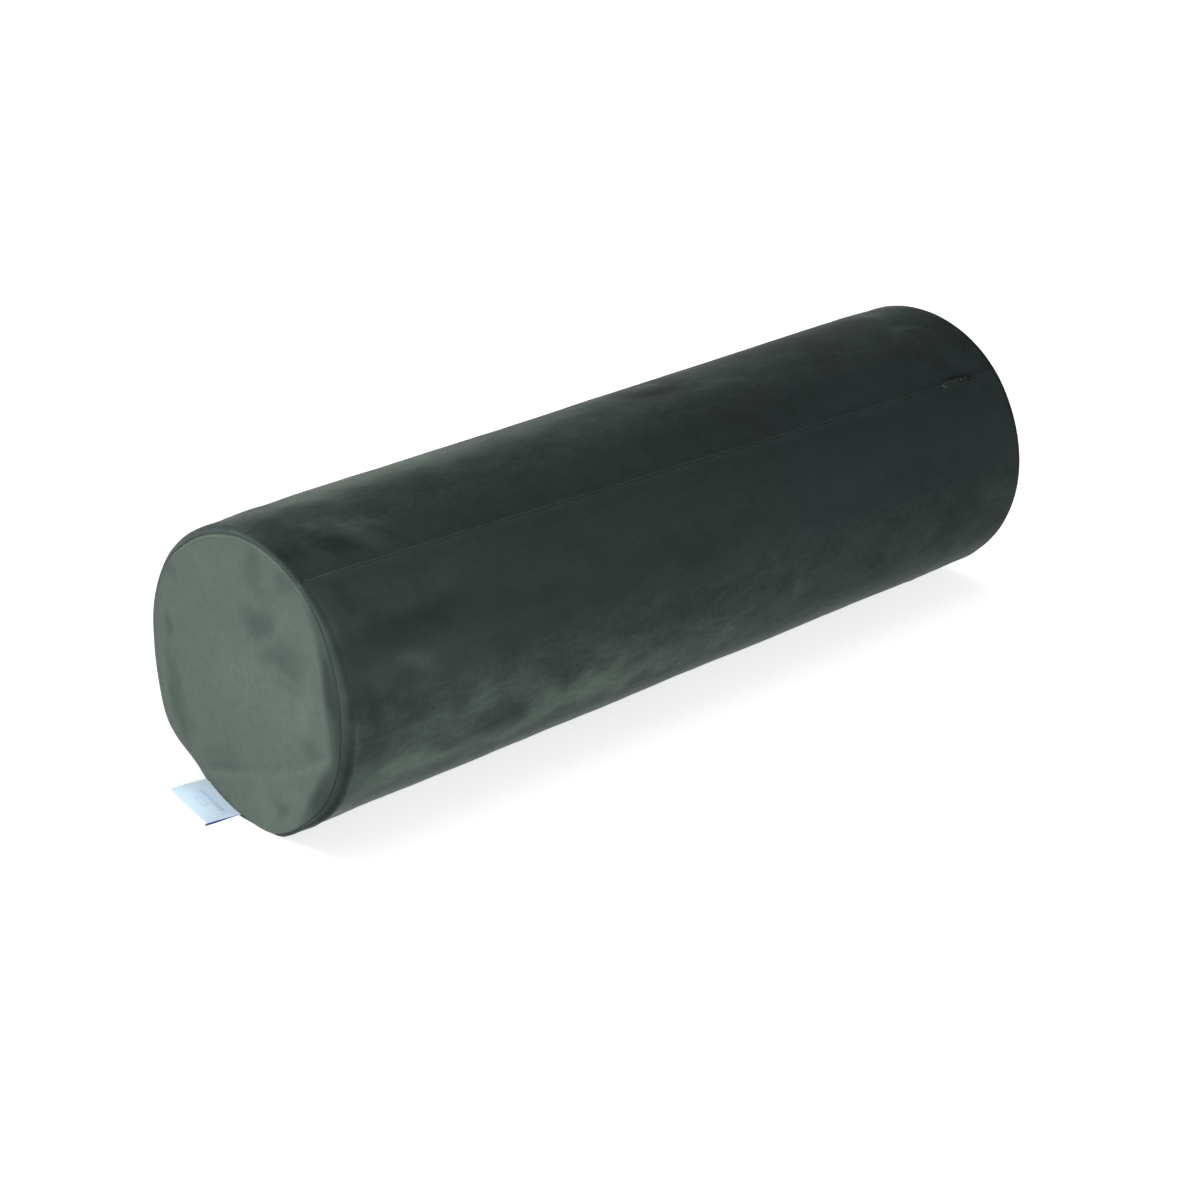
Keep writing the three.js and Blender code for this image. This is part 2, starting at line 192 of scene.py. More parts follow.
class Nodes:
    """Short names for building a material's node tree."""

    def __init__(self, tree):
        self.tree = tree
        self.shader = tree.nodes["Principled BSDF"]

    def paint(self, colour, normal):
        self.set(self.shader.inputs["Base Color"], colour)
        self.set(self.shader.inputs["Normal"], normal)

    def add(self, kind, inputs=(), **settings):
        node = self.tree.nodes.new("ShaderNode" + kind)
        for key, value in settings.items():
            setattr(node, key, value)
        for key, value in dict(inputs).items():
            self.set(node.inputs[key], value)
        return node

    def set(self, socket, value):
        if isinstance(value, bpy.types.NodeSocket):
            self.tree.links.new(value, socket)
        else:
            socket.default_value = value

    def place(self, scale=(1, 1, 1)):
        """Object coordinates in metres, scaled."""
        where = self.add("TexCoord").outputs["Object"]
        return self.add("Mapping", {"Vector": where, "Scale": scale}).outputs["Vector"]

    def noise(self, where, scale, detail=2.0, rough=0.5, distort=0.0):
        inputs = {"Vector": where, "Scale": scale, "Detail": detail}
        return self.add("TexNoise", {**inputs, "Roughness": rough, "Distortion": distort}).outputs["Fac"]

    def math(self, operation, a, b=0.0, clamp=False):
        return self.add("Math", {0: a, 1: b}, operation=operation, use_clamp=clamp).outputs[0]

    def plus(self, a, b, clamp=False):
        return self.math("ADD", a, b, clamp)

    def times(self, a, b):
        return self.math("MULTIPLY", a, b)

    def attribute(self, name):
        return self.add("Attribute", attribute_name=name).outputs["Fac"]

    def wave(self, where, scale, distortion, axis):
        inputs = {"Vector": where, "Scale": scale, "Distortion": distortion, "Detail": 2}
        return self.add("TexWave", inputs, bands_direction=axis).outputs["Fac"]

    def span(self, value, low, high, to_low=0.0, to_high=1.0):
        inputs = {"Value": value, "From Min": low, "From Max": high, "To Min": to_low, "To Max": to_high}
        return self.add("MapRange", inputs).outputs["Result"]

    def mix(self, factor, a, b):
        node = self.add("Mix", data_type="RGBA")
        for key, value in (("Factor_Float", factor), ("A_Color", a), ("B_Color", b)):
            socket = next(s for s in node.inputs if s.identifier == key)
            self.set(socket, (*value, 1) if isinstance(value, tuple) and len(value) == 3 else value)
        return next(s for s in node.outputs if s.identifier == "Result_Color")

    def bump(self, height, distance, strength=1.0, normal=None):
        inputs = {"Height": height, "Distance": distance, "Strength": strength}
        if normal is not None:
            inputs["Normal"] = normal
        return self.add("Bump", inputs).outputs["Normal"]


def new_material(name, colour, roughness):
    material = bpy.data.materials.new(name)
    material.use_nodes = True
    n = Nodes(material.node_tree)
    n.shader.inputs["Base Color"].default_value = (*colour, 1)
    n.shader.inputs["Roughness"].default_value = roughness
    return material, n.shader, n


def velvet(name, cool, warm, seed):
    """Short-pile velvet.

    A vertex attribute gives the pile's brushing and painted light and shade, in stops: 1 doubles its brightness
    and -1 halves it. "mottle" says how blotchy it is and "teal" how blue, from 0 to 1. seed moves the blotches.
    """
    material, shader, n = new_material(name, cool, 0.9)
    here = n.place()
    moved = n.add("VectorMath", {0: here, 1: (seed, seed * 0.37, seed * 0.71)}, operation="ADD").outputs[0]
    turned = {"Vector": moved, "Scale": (0.45, 1, 1), "Rotation": (0, 0, 0.3)}
    stretched = n.add("Mapping", turned).outputs["Vector"]
    nap_and_painted_light = n.attribute("nap_and_painted_light")
    mottle = n.attribute("mottle")
    clouds = n.span(n.noise(moved, 26, 3, 0.55, 0.8), 0.3, 0.7, -0.5, 0.5)
    strokes = n.span(n.noise(stretched, 130, 4, 0.62, 1.2), 0.28, 0.72, -0.5, 0.5)
    flecks = n.span(n.noise(here, 380, 3, 0.65, 0.5), 0.3, 0.7, -0.5, 0.5)
    pile = n.noise(here, 2300, 2, 0.7)
    blotches = n.plus(n.times(clouds, 0.40), n.times(strokes, 0.50))
    blotches = n.plus(blotches, n.times(flecks, 0.34))
    lean_and_light = n.plus(nap_and_painted_light, n.times(blotches, mottle))
    grain = n.times(n.math("SUBTRACT", pile, 0.5), 0.9)
    gain = n.math("POWER", 2.0, n.plus(lean_and_light, grain))
    tone = n.mix(n.span(lean_and_light, -0.5, 0.9), cool, warm)
    tone = n.mix(n.attribute("teal"), tone, (0.0232, 0.0300, 0.0299))
    colour = n.add("VectorMath", {0: tone, "Scale": gain}, operation="SCALE").outputs[0]
    tufts = n.plus(n.times(pile, 0.5), n.times(flecks, 0.5))
    n.paint(colour, n.bump(tufts, 0.2 * MM, 0.45, n.bump(strokes, 0.3 * MM, 0.3)))
    shader.inputs["Specular IOR Level"].default_value = 0.05
    shader.inputs["Sheen Weight"].default_value = 0.075
    shader.inputs["Sheen Roughness"].default_value = 0.3
    shader.inputs["Sheen Tint"].default_value = (0.88, 1.0, 0.94, 1)
    return material


def woven(name, colour, pitch, along, across):
    """Plain weave whose threads run along two directions, pitch apart."""
    material, shader, n = new_material(name, colour, 0.8)
    where = n.add("TexCoord").outputs["Object"]
    waves = []
    for heading in (along, across):
        place = n.add("VectorMath", {0: where, 1: heading}, operation="DOT_PRODUCT").outputs["Value"]
        waves.append(n.math("SINE", n.times(place, math.tau / pitch)))
    weave = n.times(waves[0], waves[1])
    fibre = n.noise(n.place(), 2600, 2, 0.7)
    blotch = n.noise(n.place(), 45, 3)
    tone = n.plus(n.span(weave, -1, 1, 0.0, 0.35), n.times(fibre, 0.3))
    tone = n.plus(tone, n.times(blotch, 0.3), clamp=True)
    colour = n.mix(tone, tuple(0.62 * c for c in colour), tuple(1.25 * c for c in colour))
    n.paint(colour, n.bump(n.plus(weave, n.times(fibre, 0.6)), 0.25 * pitch, 0.6))
    shader.inputs["Sheen Weight"].default_value = 0.15
    return material


def foam_material():
    material, _, n = new_material("foam_open_cell", (0.80, 0.75, 0.62), 0.95)
    where = n.place()
    cells = n.add("TexVoronoi", {"Vector": where, "Scale": 900}).outputs["Distance"]
    aged = n.noise(where, 14, 3)
    colour = n.mix(n.span(aged, 0.35, 0.7), (0.82, 0.78, 0.66), (0.74, 0.67, 0.52))
    colour = n.mix(n.span(cells, 0.0, 0.6, 0.35, 0.0), colour, (0.45, 0.39, 0.28))
    n.paint(colour, n.bump(cells, 0.5 * MM, 0.7))
    return material


def knit(name, colour):
    """Stockinette: ribs of loops round the roll and courses along it."""
    material, shader, n = new_material(name, colour, 0.9)
    rib = n.wave(n.place(), 180, 1.5, "X")
    loops = n.noise(n.place((1, 2.2, 2.2)), 700, 2, 0.6)
    height = n.plus(n.times(rib, 0.5), n.times(loops, 0.5), clamp=True)
    n.paint(n.mix(height, tuple(0.72 * c for c in colour), colour), n.bump(height, 0.4 * MM, 0.7))
    shader.inputs["Sheen Weight"].default_value = 0.2
    return material


def twisted_thread():
    material, shader, n = new_material("polyester_thread", (0.028, 0.042, 0.036), 0.6)
    twist = n.wave(n.place(), 420, 3, "DIAGONAL")
    n.paint(n.mix(twist, (0.016, 0.025, 0.021), (0.045, 0.065, 0.056)), n.bump(twist, 0.15 * MM, 0.8))
    shader.inputs["Sheen Weight"].default_value = 0.25
    return material


def nylon_coil():
    material, _, n = new_material("nylon_coil", (0.02, 0.03, 0.026), 0.4)
    turns = n.wave(n.place(), 260, 0.2, "X")
    n.paint(n.mix(turns, (0.010, 0.016, 0.013), (0.05, 0.07, 0.06)), n.bump(turns, 0.3 * MM, 0.9))
    return material


def enamel():
    """Zinc painted to match the velvet, with its paint a little worn."""
    material, shader, n = new_material("enamelled_zinc", (0.020, 0.028, 0.025), 0.5)
    where = n.place()
    wear = n.span(n.noise(where, 900, 4, 0.65), 0.58, 0.72)
    colour = n.mix(wear, (0.024, 0.033, 0.031), (0.036, 0.046, 0.043))
    n.paint(colour, n.bump(n.noise(where, 2400, 2), 0.05 * MM, 0.4))
    n.set(shader.inputs["Roughness"], n.span(wear, 0, 1, 0.55, 0.7))
    shader.inputs["Specular IOR Level"].default_value = 0.12
    return material


# ---------------------------------------------------------------- shapes


def smooth(low, high, value):
    share = np.clip((value - low) / (high - low), 0, 1)
    return share * share * (3 - 2 * share)


def hill(distance, width):
    return np.exp(-((distance / width) ** 2))


def turn(a, b):
    """How far angle a is past angle b, in degrees, the short way."""
    return (a - b + 180) % 360 - 180


def round_the_clock(points, blur=4):
    """A smooth function of the angle, in degrees, through about these (angle, value) points."""
    points = sorted(points)
    angles = [points[-1][0] - 360, *[a for a, _ in points], points[0][0] + 360]
    values = [points[-1][1], *[v for _, v in points], points[0][1]]
    grid = np.arange(-180, 180)
    sampled = np.interp(grid, angles, values)
    spread = hill(np.arange(-15, 16), blur)
    tripled = np.convolve(np.tile(sampled, 3), spread / spread.sum(), "same")
    table = tripled[360:721]
    return lambda angle: np.interp((np.asarray(angle) + 180) % 360, np.arange(361), table)


def ripples(seed, shortest, longest, count=24):
    """Smooth random waves over the roll, within about -1 and 1, as a function of (x, angle in degrees)."""
    rng = np.random.default_rng(seed)
    lengths = np.exp(rng.uniform(math.log(shortest), math.log(longest), count))
    headings = rng.uniform(0, math.pi, count)
    phases = rng.uniform(0, math.tau, count)
    rounds = np.round(math.tau * R / lengths * np.sin(headings))
    steps = math.tau / lengths * np.cos(headings)

    def value(x, angle):
        total = 0
        for turns, step, phase in zip(rounds, steps, phases):
            total += np.sin(turns * np.radians(angle) + step * x + phase)
        return total / math.sqrt(count)

    return value


def on_roll(x, radius, angle):
    """Points at x, a radius from the axis and an angle, pressed flat where they would pass the floor."""
    y = -radius * np.sin(np.radians(angle))
    z = AXIS_Z + radius * np.cos(np.radians(angle))
    soft = 0.25 * MM
    z = np.where(z < 4 * soft, soft * np.log1p(np.exp(np.clip(z / soft, -40, 40))), z)
    return np.stack([x + 0 * y, y, z], axis=-1)


def grid_mesh(name, points, closed=False, pole=None):
    """Makes a mesh of rows of points.

    closed joins the last column to the first, and pole is a point past the first row.
    """
    rows, columns = points.shape[:2]
    vertices = points.reshape(-1, 3).tolist()
    last = columns if closed else columns - 1
    faces = []
    for i in range(rows - 1):
        for j in range(last):
            k = (j + 1) % columns
            faces.append((i * columns + j, i * columns + k, (i + 1) * columns + k, (i + 1) * columns + j))
    if pole is not None:
        vertices.append(tuple(pole))
        faces += [(len(vertices) - 1, (j + 1) % columns, j) for j in range(last)]
    mesh = bpy.data.meshes.new(name)
    mesh.from_pydata(vertices, [], faces)
    mesh.validate()
    obj = bpy.data.objects.new(name, mesh)
    bpy.context.scene.collection.objects.link(obj)
    return obj


def set_values(obj, name, values):
    """Stores a number at each vertex, for a material to read."""
    attribute = obj.data.attributes.new(name, "FLOAT", "POINT")
    attribute.data.foreach_set("value", np.asarray(values, np.float32).ravel())


def faces_out(obj, weld=0.0):
    """Turns the faces outward, after joining points that lie within weld of each other."""
    work = bmesh.new()
    work.from_mesh(obj.data)
    if weld:
        bmesh.ops.remove_doubles(work, verts=work.verts, dist=weld)
    bmesh.ops.recalc_face_normals(work, faces=work.faces)
    work.to_mesh(obj.data)
    work.free()


def shade(obj, material):
    obj.data.shade_smooth()
    obj.data.materials.clear()
    obj.data.materials.append(material)


def stand_for(obj, node, material):
    """Finishes a piece that stands for a CAD node of the roll's own body."""
    shade(obj, material)
    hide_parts(node)
    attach(obj, ROOT)


def thicken(obj, thickness, offset=-1):
    """Gives a one-sided sheet its thickness, inward from the faces, or to both sides where offset is 0."""
    modifier = obj.modifiers.new("thickness", "SOLIDIFY")
    modifier.thickness = thickness
    modifier.offset = offset
    bpy.context.view_layer.objects.active = obj
    obj.select_set(True)
    bpy.ops.object.modifier_apply(modifier=modifier.name)
    obj.select_set(False)


def stretched(obj, node, slot, material, thickness, *cut):
    """Finishes a sheet that is held stretched over the foam.

    cut is the width and length that it was cut to, or the width alone for a disc; it is not used.
    """
    faces_out(obj)
    thicken(obj, thickness)
    for vertex in obj.data.vertices:
        vertex.co.z = max(vertex.co.z, 0)
    stand_for(obj, node, material)


# ---------------------------------------------------------------- the end seams


def constant(value):
    """A function of the angle that is the same all round."""
    return lambda angle: value + 0 * angle


class EndSeam:
    """The sewn corner at one end of the roll: functions of the angle in degrees that give millimetres.

    side is -1 at the near end, which the camera sees, and 1 at the far one.
    radius is where the seam's groove lies, and sink how much deeper it is than SEAM_DEPTH.
    push is how far the seam leans out along the roll.
    margin is how wide a rim of the end panel slopes down to it.
    fade is how soon painted shade darkens that rim on its way down, from 0 to 1.
    gap is how far the two panels part there, and piping how proud the end panel's rounded rim stands.
    lip is how wide the body panel's edge is before its shoulder.
    bulge is how far the shoulder stands off the plain roll.
    shade is the painted shade on the body panel's pile there, in stops.
    """

    def __init__(self, side, **shape):
        self.side = side
        for name, value in shape.items():
            if isinstance(value, list):
                value = round_the_clock(value)
            elif not callable(value):
                value = constant(value)
            setattr(self, name, value)


NEAR = EndSeam(
    -1,
    radius=[(-178, 76.4), (-173, 75.4), (-168, 74.8), (-162, 74.6), (-156, 74.4), (-150, 73.8), (-144, 72.0),
            (-138, 73.2), (-131, 75.8), (-122, 76.4), (-114, 74.9), (-108, 73.9), (-100, 73.1), (-90, 72.0),
            (-82, 72.8), (-67, 73.1), (-51, 74.0), (-37, 72.9), (-22, 73.2), (-10, 73.7), (0, 74.6),
            (10, 75.0), (32, 75.0), (42, 74.0), (50, 73.0), (60, 70.6), (68, 69.4), (77, 68.6), (86, 68.0),
            (94, 68.2), (102, 69.2), (111, 70.6), (121, 71.8), (134, 73.4), (146, 74.8), (154, 76.6),
            (162, 78.2), (168, 79.0), (174, 78.2)],
    sink=[(-180, 0.2), (-160, 0.2), (-120, -0.5), (-50, -0.5), (-20, 0.0), (30, 0.3), (42, 0.7), (52, 1.3),
          (60, 2.1), (68, 2.7), (77, 3.0), (86, 2.9), (94, 2.4), (102, 1.9), (111, 1.6), (121, 1.6),
          (134, 1.4), (146, 0.8), (156, 0.0)],
    push=[(-180, 1.5), (-165, 0.8), (-150, 0.0), (-142, 0.0), (-132, 0.6), (-122, 1.2), (-114, 0.6),
          (-104, 0.0), (130, 0.0), (150, 0.3), (162, 1.2), (172, 2.2)],
    margin=[(-180, 3), (28, 3.0), (38, 6.0), (46, 8.0), (52, 8.5), (60, 9.0), (68, 9.5), (77, 10.5),
            (86, 10.5), (94, 10.0), (102, 9.5), (109, 7.0), (116, 9.5), (125, 11.5), (136, 10.5), (146, 7.5),
            (156, 3)],
    fade=[(-180, 1), (62, 1.0), (71, 0.42), (82, 0.42), (92, 1.0), (108, 0.9), (118, 0.5), (138, 0.55),
          (152, 1)],
    gap=[(-180, 0.1), (-172, 0.4), (-150, 0.4), (-144, 0.1), (120, 0.1), (175, 0.1)],
    piping=[(-180, 0.5), (-172, 1.2), (-152, 1.2), (-144, 0.3), (-60, 0.3), (-30, 0.6), (0, 0.8), (32, 0.8),
            (42, 0.4), (50, 0.0), (140, 0.0)],
    lip=[(-180, 0.9), (-120, 1.0), (-60, 0.6), (30, 0.7), (42, 1.2), (52, 2.3), (62, 3.6), (77, 4.4),
         (90, 4.4), (100, 3.8), (111, 3.0), (125, 2.4), (140, 1.6), (155, 0.9)],
    bulge=[(-180, 0.4), (-168, 0.4), (-150, -0.7), (-143, -1.4), (-130, 0.8), (-118, 0.6), (-100, -0.6),
           (-90, -1.1), (-78, -0.4), (-60, -0.4), (-45, 0.3), (40, 0), (52, 0.3), (75, -0.2), (95, 0),
           (110, 0.4), (120, 0.6), (135, 0.6), (150, 0.4), (163, 1.6), (172, 1.8)],
    shade=[(-180, -0.4), (-120, -0.2), (-60, -0.2), (-30, -0.6), (-12, -0.9), (0, -0.3), (10, -0.6),
           (20, -0.8), (45, -0.8), (60, -0.8), (75, -1.0), (90, -1.15), (97, -1.6), (104, -2.1), (116, -2.1),
           (132, -2.0), (146, -1.5), (156, -0.9), (170, -0.5)],
)


def far_seam():
    """The hidden end: plain, with a random waviness of its own."""
    wander = ripples(7, 0.07, 0.3)
    return EndSeam(1, radius=lambda a: 72.8 + 0.5 * wander(0.0, a), sink=lambda a: 0.9 * wander(0.2, a) ** 2,
                   margin=lambda a: 3 + 1.5 * wander(0.1, a) ** 2, bulge=lambda a: 0.5 * wander(0.3, a),
                   piping=lambda a: 0.4 + 0.3 * wander(0.4, a), gap=0.12, lip=1.1, fade=1, push=0, shade=-0.6)


FAR = far_seam()

# Millimetres.
SEAM_DEPTH = 1.3  # of the seam's groove where nothing sinks
SHOULDER = 5.5  # along the roll
SHOULDER_POWER = 0.9  # no length: 1 makes the shoulder a quarter ellipse, and less makes it squarer
TUCK = 8.0  # of both panels, turned in inside the end seams
TUCK_SLANT = 0.4  # how much the turned-in cloth changes its radius
HEM = 11.0  # of the body panel, turned under beside the zip
FOLD_RADIUS = 1.3  # of the body panel's edge where it turns under
FOLD_EASE = 0.3  # how far from its edge the panel starts to turn under
SLIT_HALF = 0.08  # between the zip's two folded edges and the middle of the seam
TUCK_SHARES = (0.08, 0.2, 0.4, 0.7, 1)  # where the turned-in cloth has its rows, as shares of TUCK

# Creases in the body panel: x (mm) and angle of both ends, how high they stand and how wide they are (mm).
CREASES = [
    (-224, 5, -188, 27, 0.60, 3.0),
    (-222, 15, -200, 30, -0.55, 3.4),
    (-240, 63, -212, 60, 0.35, 2.5),
    (-240, 90, -208, 91, 0.45, 2.2),
    (-238, 97, -212, 97, -0.40, 2.8),
    (-236, 112, -190, 110, 0.30, 3.5),
    (-246, 104, -246, 150, 0.55, 1.5),
    (124, 8, 134, 17, -0.30, 1.5),
    (124, 16, 134, 9, -0.25, 1.5),
    (203, 100, 214, 106, 0.45, 2.0),
    (214, 106, 200, 113, 0.40, 2.0),
    (205, 15, 216, 13, 0.30, 2.0),
    (215, -40, 240, -52, 0.45, 3.0),
    (-238, -95, -205, -100, 0.50, 3.5),
    (-238, -128, -190, -120, 0.60, 4.0),
    (232, 140, 200, 150, 0.50, 3.5),
]

# A thumb's dent near the top: x (mm), angle, and how far its rim reaches along and round the roll (mm).
DENT = (35, -9.5, 17, 13)

# Where the body panel's pile is brushed or painted: x (mm), angle, reach along and round the roll (mm), turn,
# stops.
# Besides the pile's blotches these hold painted light: a lighter top band, darker to the far end, and a lighter
# underside.
BODY_STROKES_AND_LIGHT = [
    (-130, -10, 115, 14, 0, 0.60), (-200, -6, 30, 8, 10, 0.25), (-40, -4, 30, 8, 0, 0.25),
    (-23, 8, 15, 6, 20, 0.45), (-149, 7, 18, 7, 0, -0.32), (-100, 6, 14, 6, 0, -0.22),
    (-62, 14, 20, 6, 15, -0.30), (-179, 12, 10, 6, 0, -0.30), (-229, 2, 7, 6, 0, -0.30),
    (-217, 23, 12, 6, 35, -0.55), (-206, 15, 20, 3.5, 38, 0.65), (-190, 26, 12, 4, 10, 0.2),
    (70, 8, 12, 5, 0, 0.50), (30, 7, 40, 7, 0, 0.25), (110, 4, 20, 6, 0, 0.15), (20, -6, 14, 8, 0, -0.20),
    (165, -10, 55, 13, 0, -0.65), (100, -18, 35, 8, 0, -0.35), (218, -9, 12, 8, 0, 1.05),
    (209, 13, 10, 4, -10, 0.60), (217, 6, 8, 5, 0, -0.25), (236, 12, 12, 25, 0, -0.20),
    (60, 31, 130, 9, 4, -0.13), (-120, 30, 60, 8, 4, -0.10), (-133, 68, 38, 6, -3, -0.28),
    (-205, 62, 50, 7, 0, -0.30), (-60, 72, 60, 12, -3, -0.22), (0, 74, 60, 9, -3, -0.15),
    (-203, 76, 12, 6, 0, 0.45), (-150, 98, 30, 7, 5, 0.50), (-217, 84, 12, 5, 0, -0.30),
    (-236, 101, 8, 9, 0, -0.50), (-215, 119, 34, 12, 0, 0.80), (-95, 114, 62, 14, 4, 1.00),
    (-160, 122, 40, 8, 0, 0.60), (0, 117, 55, 10, 0, 0.50), (-190, 102, 30, 6, 0, 0.30),
    (-60, 100, 60, 6, 8, 0.25), (55, 106, 30, 9, 0, 0.25), (-150, 112, 19, 7, 10, -0.75),
    (-189, 114, 9, 6, 0, -0.45), (-60, 113, 12, 6, 0, -0.50), (53, 100, 3, 10, 0, -0.30),
    (126, 108, 12, 6, 20, -0.40), (189, 103, 7, 9, 0, -0.35), (166, 117, 14, 7, 0, 0.35),
    (213, 114, 3, 12, 20, 0.45), (195, 122, 8, 5, 0, -0.30), (236, 116, 12, 10, 0, -0.20),
    (150, 92, 80, 12, 0, -0.15), (-160, -17, 85, 15, 0, 0.42), (-40, -16, 60, 12, 0, 0.22),
    (40, -24, 45, 7, 0, 0.45), (170, -4, 70, 20, 0, -0.40), (150, 38, 115, 10, 0, 0.24),
    (-205, 64, 50, 14, 0, -0.25), (-130, 79, 60, 8, 0, -0.22), (150, 79, 85, 8, 0, -0.20),
    (-200, 104, 50, 10, 0, 0.25), (-115, 122, 40, 9, 0, 0.30), (160, 119, 90, 10, 0, -0.25),
    (-110, 58, 60, 10, 0, -0.08), (-110, -23, 65, 7, 0, 0.45), (190, -21, 50, 8, 0, -0.30),
    (-238, 84, 9, 14, 0, -0.45), (-160, -24, 45, 6, 0, 0.90), (50, -24, 55, 6, 0, 0.75),
    (-170, -11, 60, 11, 0, 0.30), (175, -24, 45, 7, 0, -0.50), (150, -15, 50, 8, 0, -0.45),
    (-215, 113, 28, 7, 0, 0.32), (-190, 20, 16, 6, 30, 0.15), (-170, 111, 22, 5, 0, 0.30),
    (200, 112, 30, 12, 0, -0.20), (-235, 1, 7, 9, 0, -0.35), (-240, 22, 8, 9, 0, -0.40),
]

# Where the near end's pile is brushed: y and z from its middle (mm), reach along y and z (mm), turn (degrees),
# stops.
NEAR_STROKES = [
    (-12, 34, 12, 8, -18, -0.48), (-26, 19, 16, 7, -18, -0.36), (-44, 24, 7, 5, -16, -0.08),
    (-31, 7, 9, 3, -22, -0.12), (-9, 58, 6, 11, 10, -0.34), (-34, 62, 9, 6, -40, -0.38),
    (-17, 51, 7, 4, -20, -0.15), (-47, -21, 6, 4, -30, -0.30), (-24, -60, 5, 4.5, -20, -0.40),
    (62, 12, 4, 6, 0, -0.32), (57, -27, 5, 24, -12, -0.42), (50, -26, 3.5, 18, -17, -0.25),
    (56, 41, 4, 5, 0, -0.18), (22, -48, 14, 5, -18, -0.16), (-10, -5, 30, 26, 0, 0.10),
    (-44, -2, 7, 16, 0, 0.15), (30, 50, 20, 10, 30, 0.08), (-12, -60, 24, 7, -20, 0.08),
    (25, 5, 16, 30, 0, 0.05), (-30, 40, 8, 5, -20, 0.10),
]

# The hidden end has three of them, mirrored.
FAR_STROKES = [(-y, z, *rest) for y, z, *rest in NEAR_STROKES[7:10]]

# Creases in the near end: (y, z) points (mm), how high they stand and how wide they are (mm).
NEAR_CREASES = [
    ([(33, -57), (9, -50), (-15, -42), (-36, -33), (-51, -25), (-62, -19)], -0.45, 1.8),
    ([(32, -61), (9, -54), (-15, -46), (-36, -37), (-51, -29), (-61, -23)], 0.40, 2.4),
    ([(-8, 66), (-3, 52), (-7, 40)], -0.25, 3.0),
    ([(-44, 56), (-38, 48), (-40, 40)], -0.30, 2.0),
    ([(62, -12), (60, -28), (52, -42)], -0.35, 3.0),
]

# Random waves: in the shape, and in the outline of the strokes.
broad = ripples(11, 0.09, 0.26)
fine = ripples(12, 0.022, 0.07)
puckers = ripples(13, 0.010, 0.022, 30)
warp_along = ripples(14, 0.015, 0.06, 30)
warp_round = ripples(15, 0.015, 0.06, 30)
unseen_nap = ripples(21, 0.05, 0.16)


def line_distance(p, q, path):
    """How far the points (p, q) are from a bent line through the points of path."""
    best = np.full(np.broadcast(p, q).shape, np.inf)
    for (p0, q0), (p1, q1) in zip(path, path[1:]):
        dp, dq = p1 - p0, q1 - q0
        share = np.clip(((p - p0) * dp + (q - q0) * dq) / (dp**2 + dq**2), 0, 1)
        best = np.minimum(best, np.hypot(p - p0 - share * dp, q - q0 - share * dq))
    return best


def stroke_stops(p, q, strokes):
    """Adds up, in stops, what the strokes do to the brightness at the points (p, q), in millimetres."""
    total = 0.0
    for p0, q0, reach_p, reach_q, turned, stops in strokes:
        c, s = math.cos(math.radians(turned)), math.sin(math.radians(turned))
        along = ((p - p0) * c + (q - q0) * s) / reach_p
        across = (-(p - p0) * s + (q - q0) * c) / reach_q
        total += stops * smooth(1.55, 0.25, np.hypot(along, across))
    return total


def arc_mm(angle):
    """The way round the roll from its top, in millimetres."""
    return math.radians(angle) * R / MM


def laid_flat(x, angle):
    """A point's place when the cover is laid out flat: x and the way round from the top, in millimetres."""
    return x / MM, np.radians(turn(angle, 0)) * R / MM


def dent_reach(x, angle):
    """How far a point is from the middle of the thumb's dent: 1 on its rim."""
    along, across = laid_flat(x, angle)
    x0, a0, reach, reach_round = DENT
    return np.hypot((along - x0) / reach, (across - arc_mm(a0)) / reach_round)


def wall_height(x, angle, simulated):
    """How far the body panel's wall stands off the plain roll, in millimetres."""
    to_end = HALF - np.abs(x)
    by_ends, at_ends = hill(to_end, 45 * MM), hill(to_end, 16 * MM)
    u = np.abs(np.radians(turn(angle, seam_angle(x)))) * R
    loft = 1 - smooth(60 * MM, 0, to_end)  # the core fills the cover out, least at its ends
    height = loft * (0.45 + 0.25 * hill(turn(angle, -25), 40)) + 0.25 * broad(x, angle)
    height += (0.05 + 0.14 * by_ends) * fine(x, angle)
    height += (0.10 * at_ends + 0.06 * hill(u, 7 * MM)) * puckers(x, angle)
    height += 0.25 * (1 - smooth(10 * MM, 16 * MM, u))  # over the zip's tapes
    height += (0.2 + 0.8 * at_ends) * simulated(x, angle)
    along, across = laid_flat(x, angle)
    for x0, a0, x1, a1, rise, width in CREASES:
        path = [(x0, arc_mm(a0)), (x1, arc_mm(a1))]
        height += rise * hill(line_distance(along, across, path), width)
    reach = dent_reach(x, angle)
    return height - 0.45 * hill(reach - 1, 0.35) + 0.25 * hill(reach, 0.5)


def seam_columns():
    """The body panel's columns, from one hem to the other.

    In metres, how far round the roll each is from the middle of the slit, how far in from the panel's face,
    and how much of the way round is the hem's.
    """
    radius = FOLD_RADIUS
    steps = np.radians([90, 62, 34, 10])
    turned = [(SLIT_HALF + FOLD_EASE * (1 - math.cos(a)), radius * (1 + math.sin(a))) for a in steps]
    hem = [(SLIT_HALF + FOLD_EASE + share * HEM, 2 * radius) for share in (1, 0.6, 0.3)]
    outward = np.radians([0, 18, 36, 54, 72, 90])
    eased = [(SLIT_HALF + FOLD_EASE * (1 - math.cos(a)), radius * (1 - math.sin(a))) for a in outward]
    beside = [(SLIT_HALF + FOLD_EASE + step, 0) for step in (0.4, 0.9, 1.6, 2.6, 4.2, 6.4)]
    edge = np.array(hem + turned + eased + beside) * MM
    girth = math.tau * R
    last = edge[-1, 0]
    plain = np.linspace(last, girth - last, round((girth - 2 * last) / SPACING) + 1)[1:-1]
    u = np.concatenate([edge[:, 0], plain, girth - edge[::-1, 0]])
    drop = np.concatenate([edge[:, 1], 0 * plain, edge[::-1, 1]])
    turned_under = np.zeros(u.size)
    turned_under[:3] = edge[:3, 0] - edge[3, 0]
    turned_under[-3:] = -turned_under[2::-1]
    return u, drop, turned_under


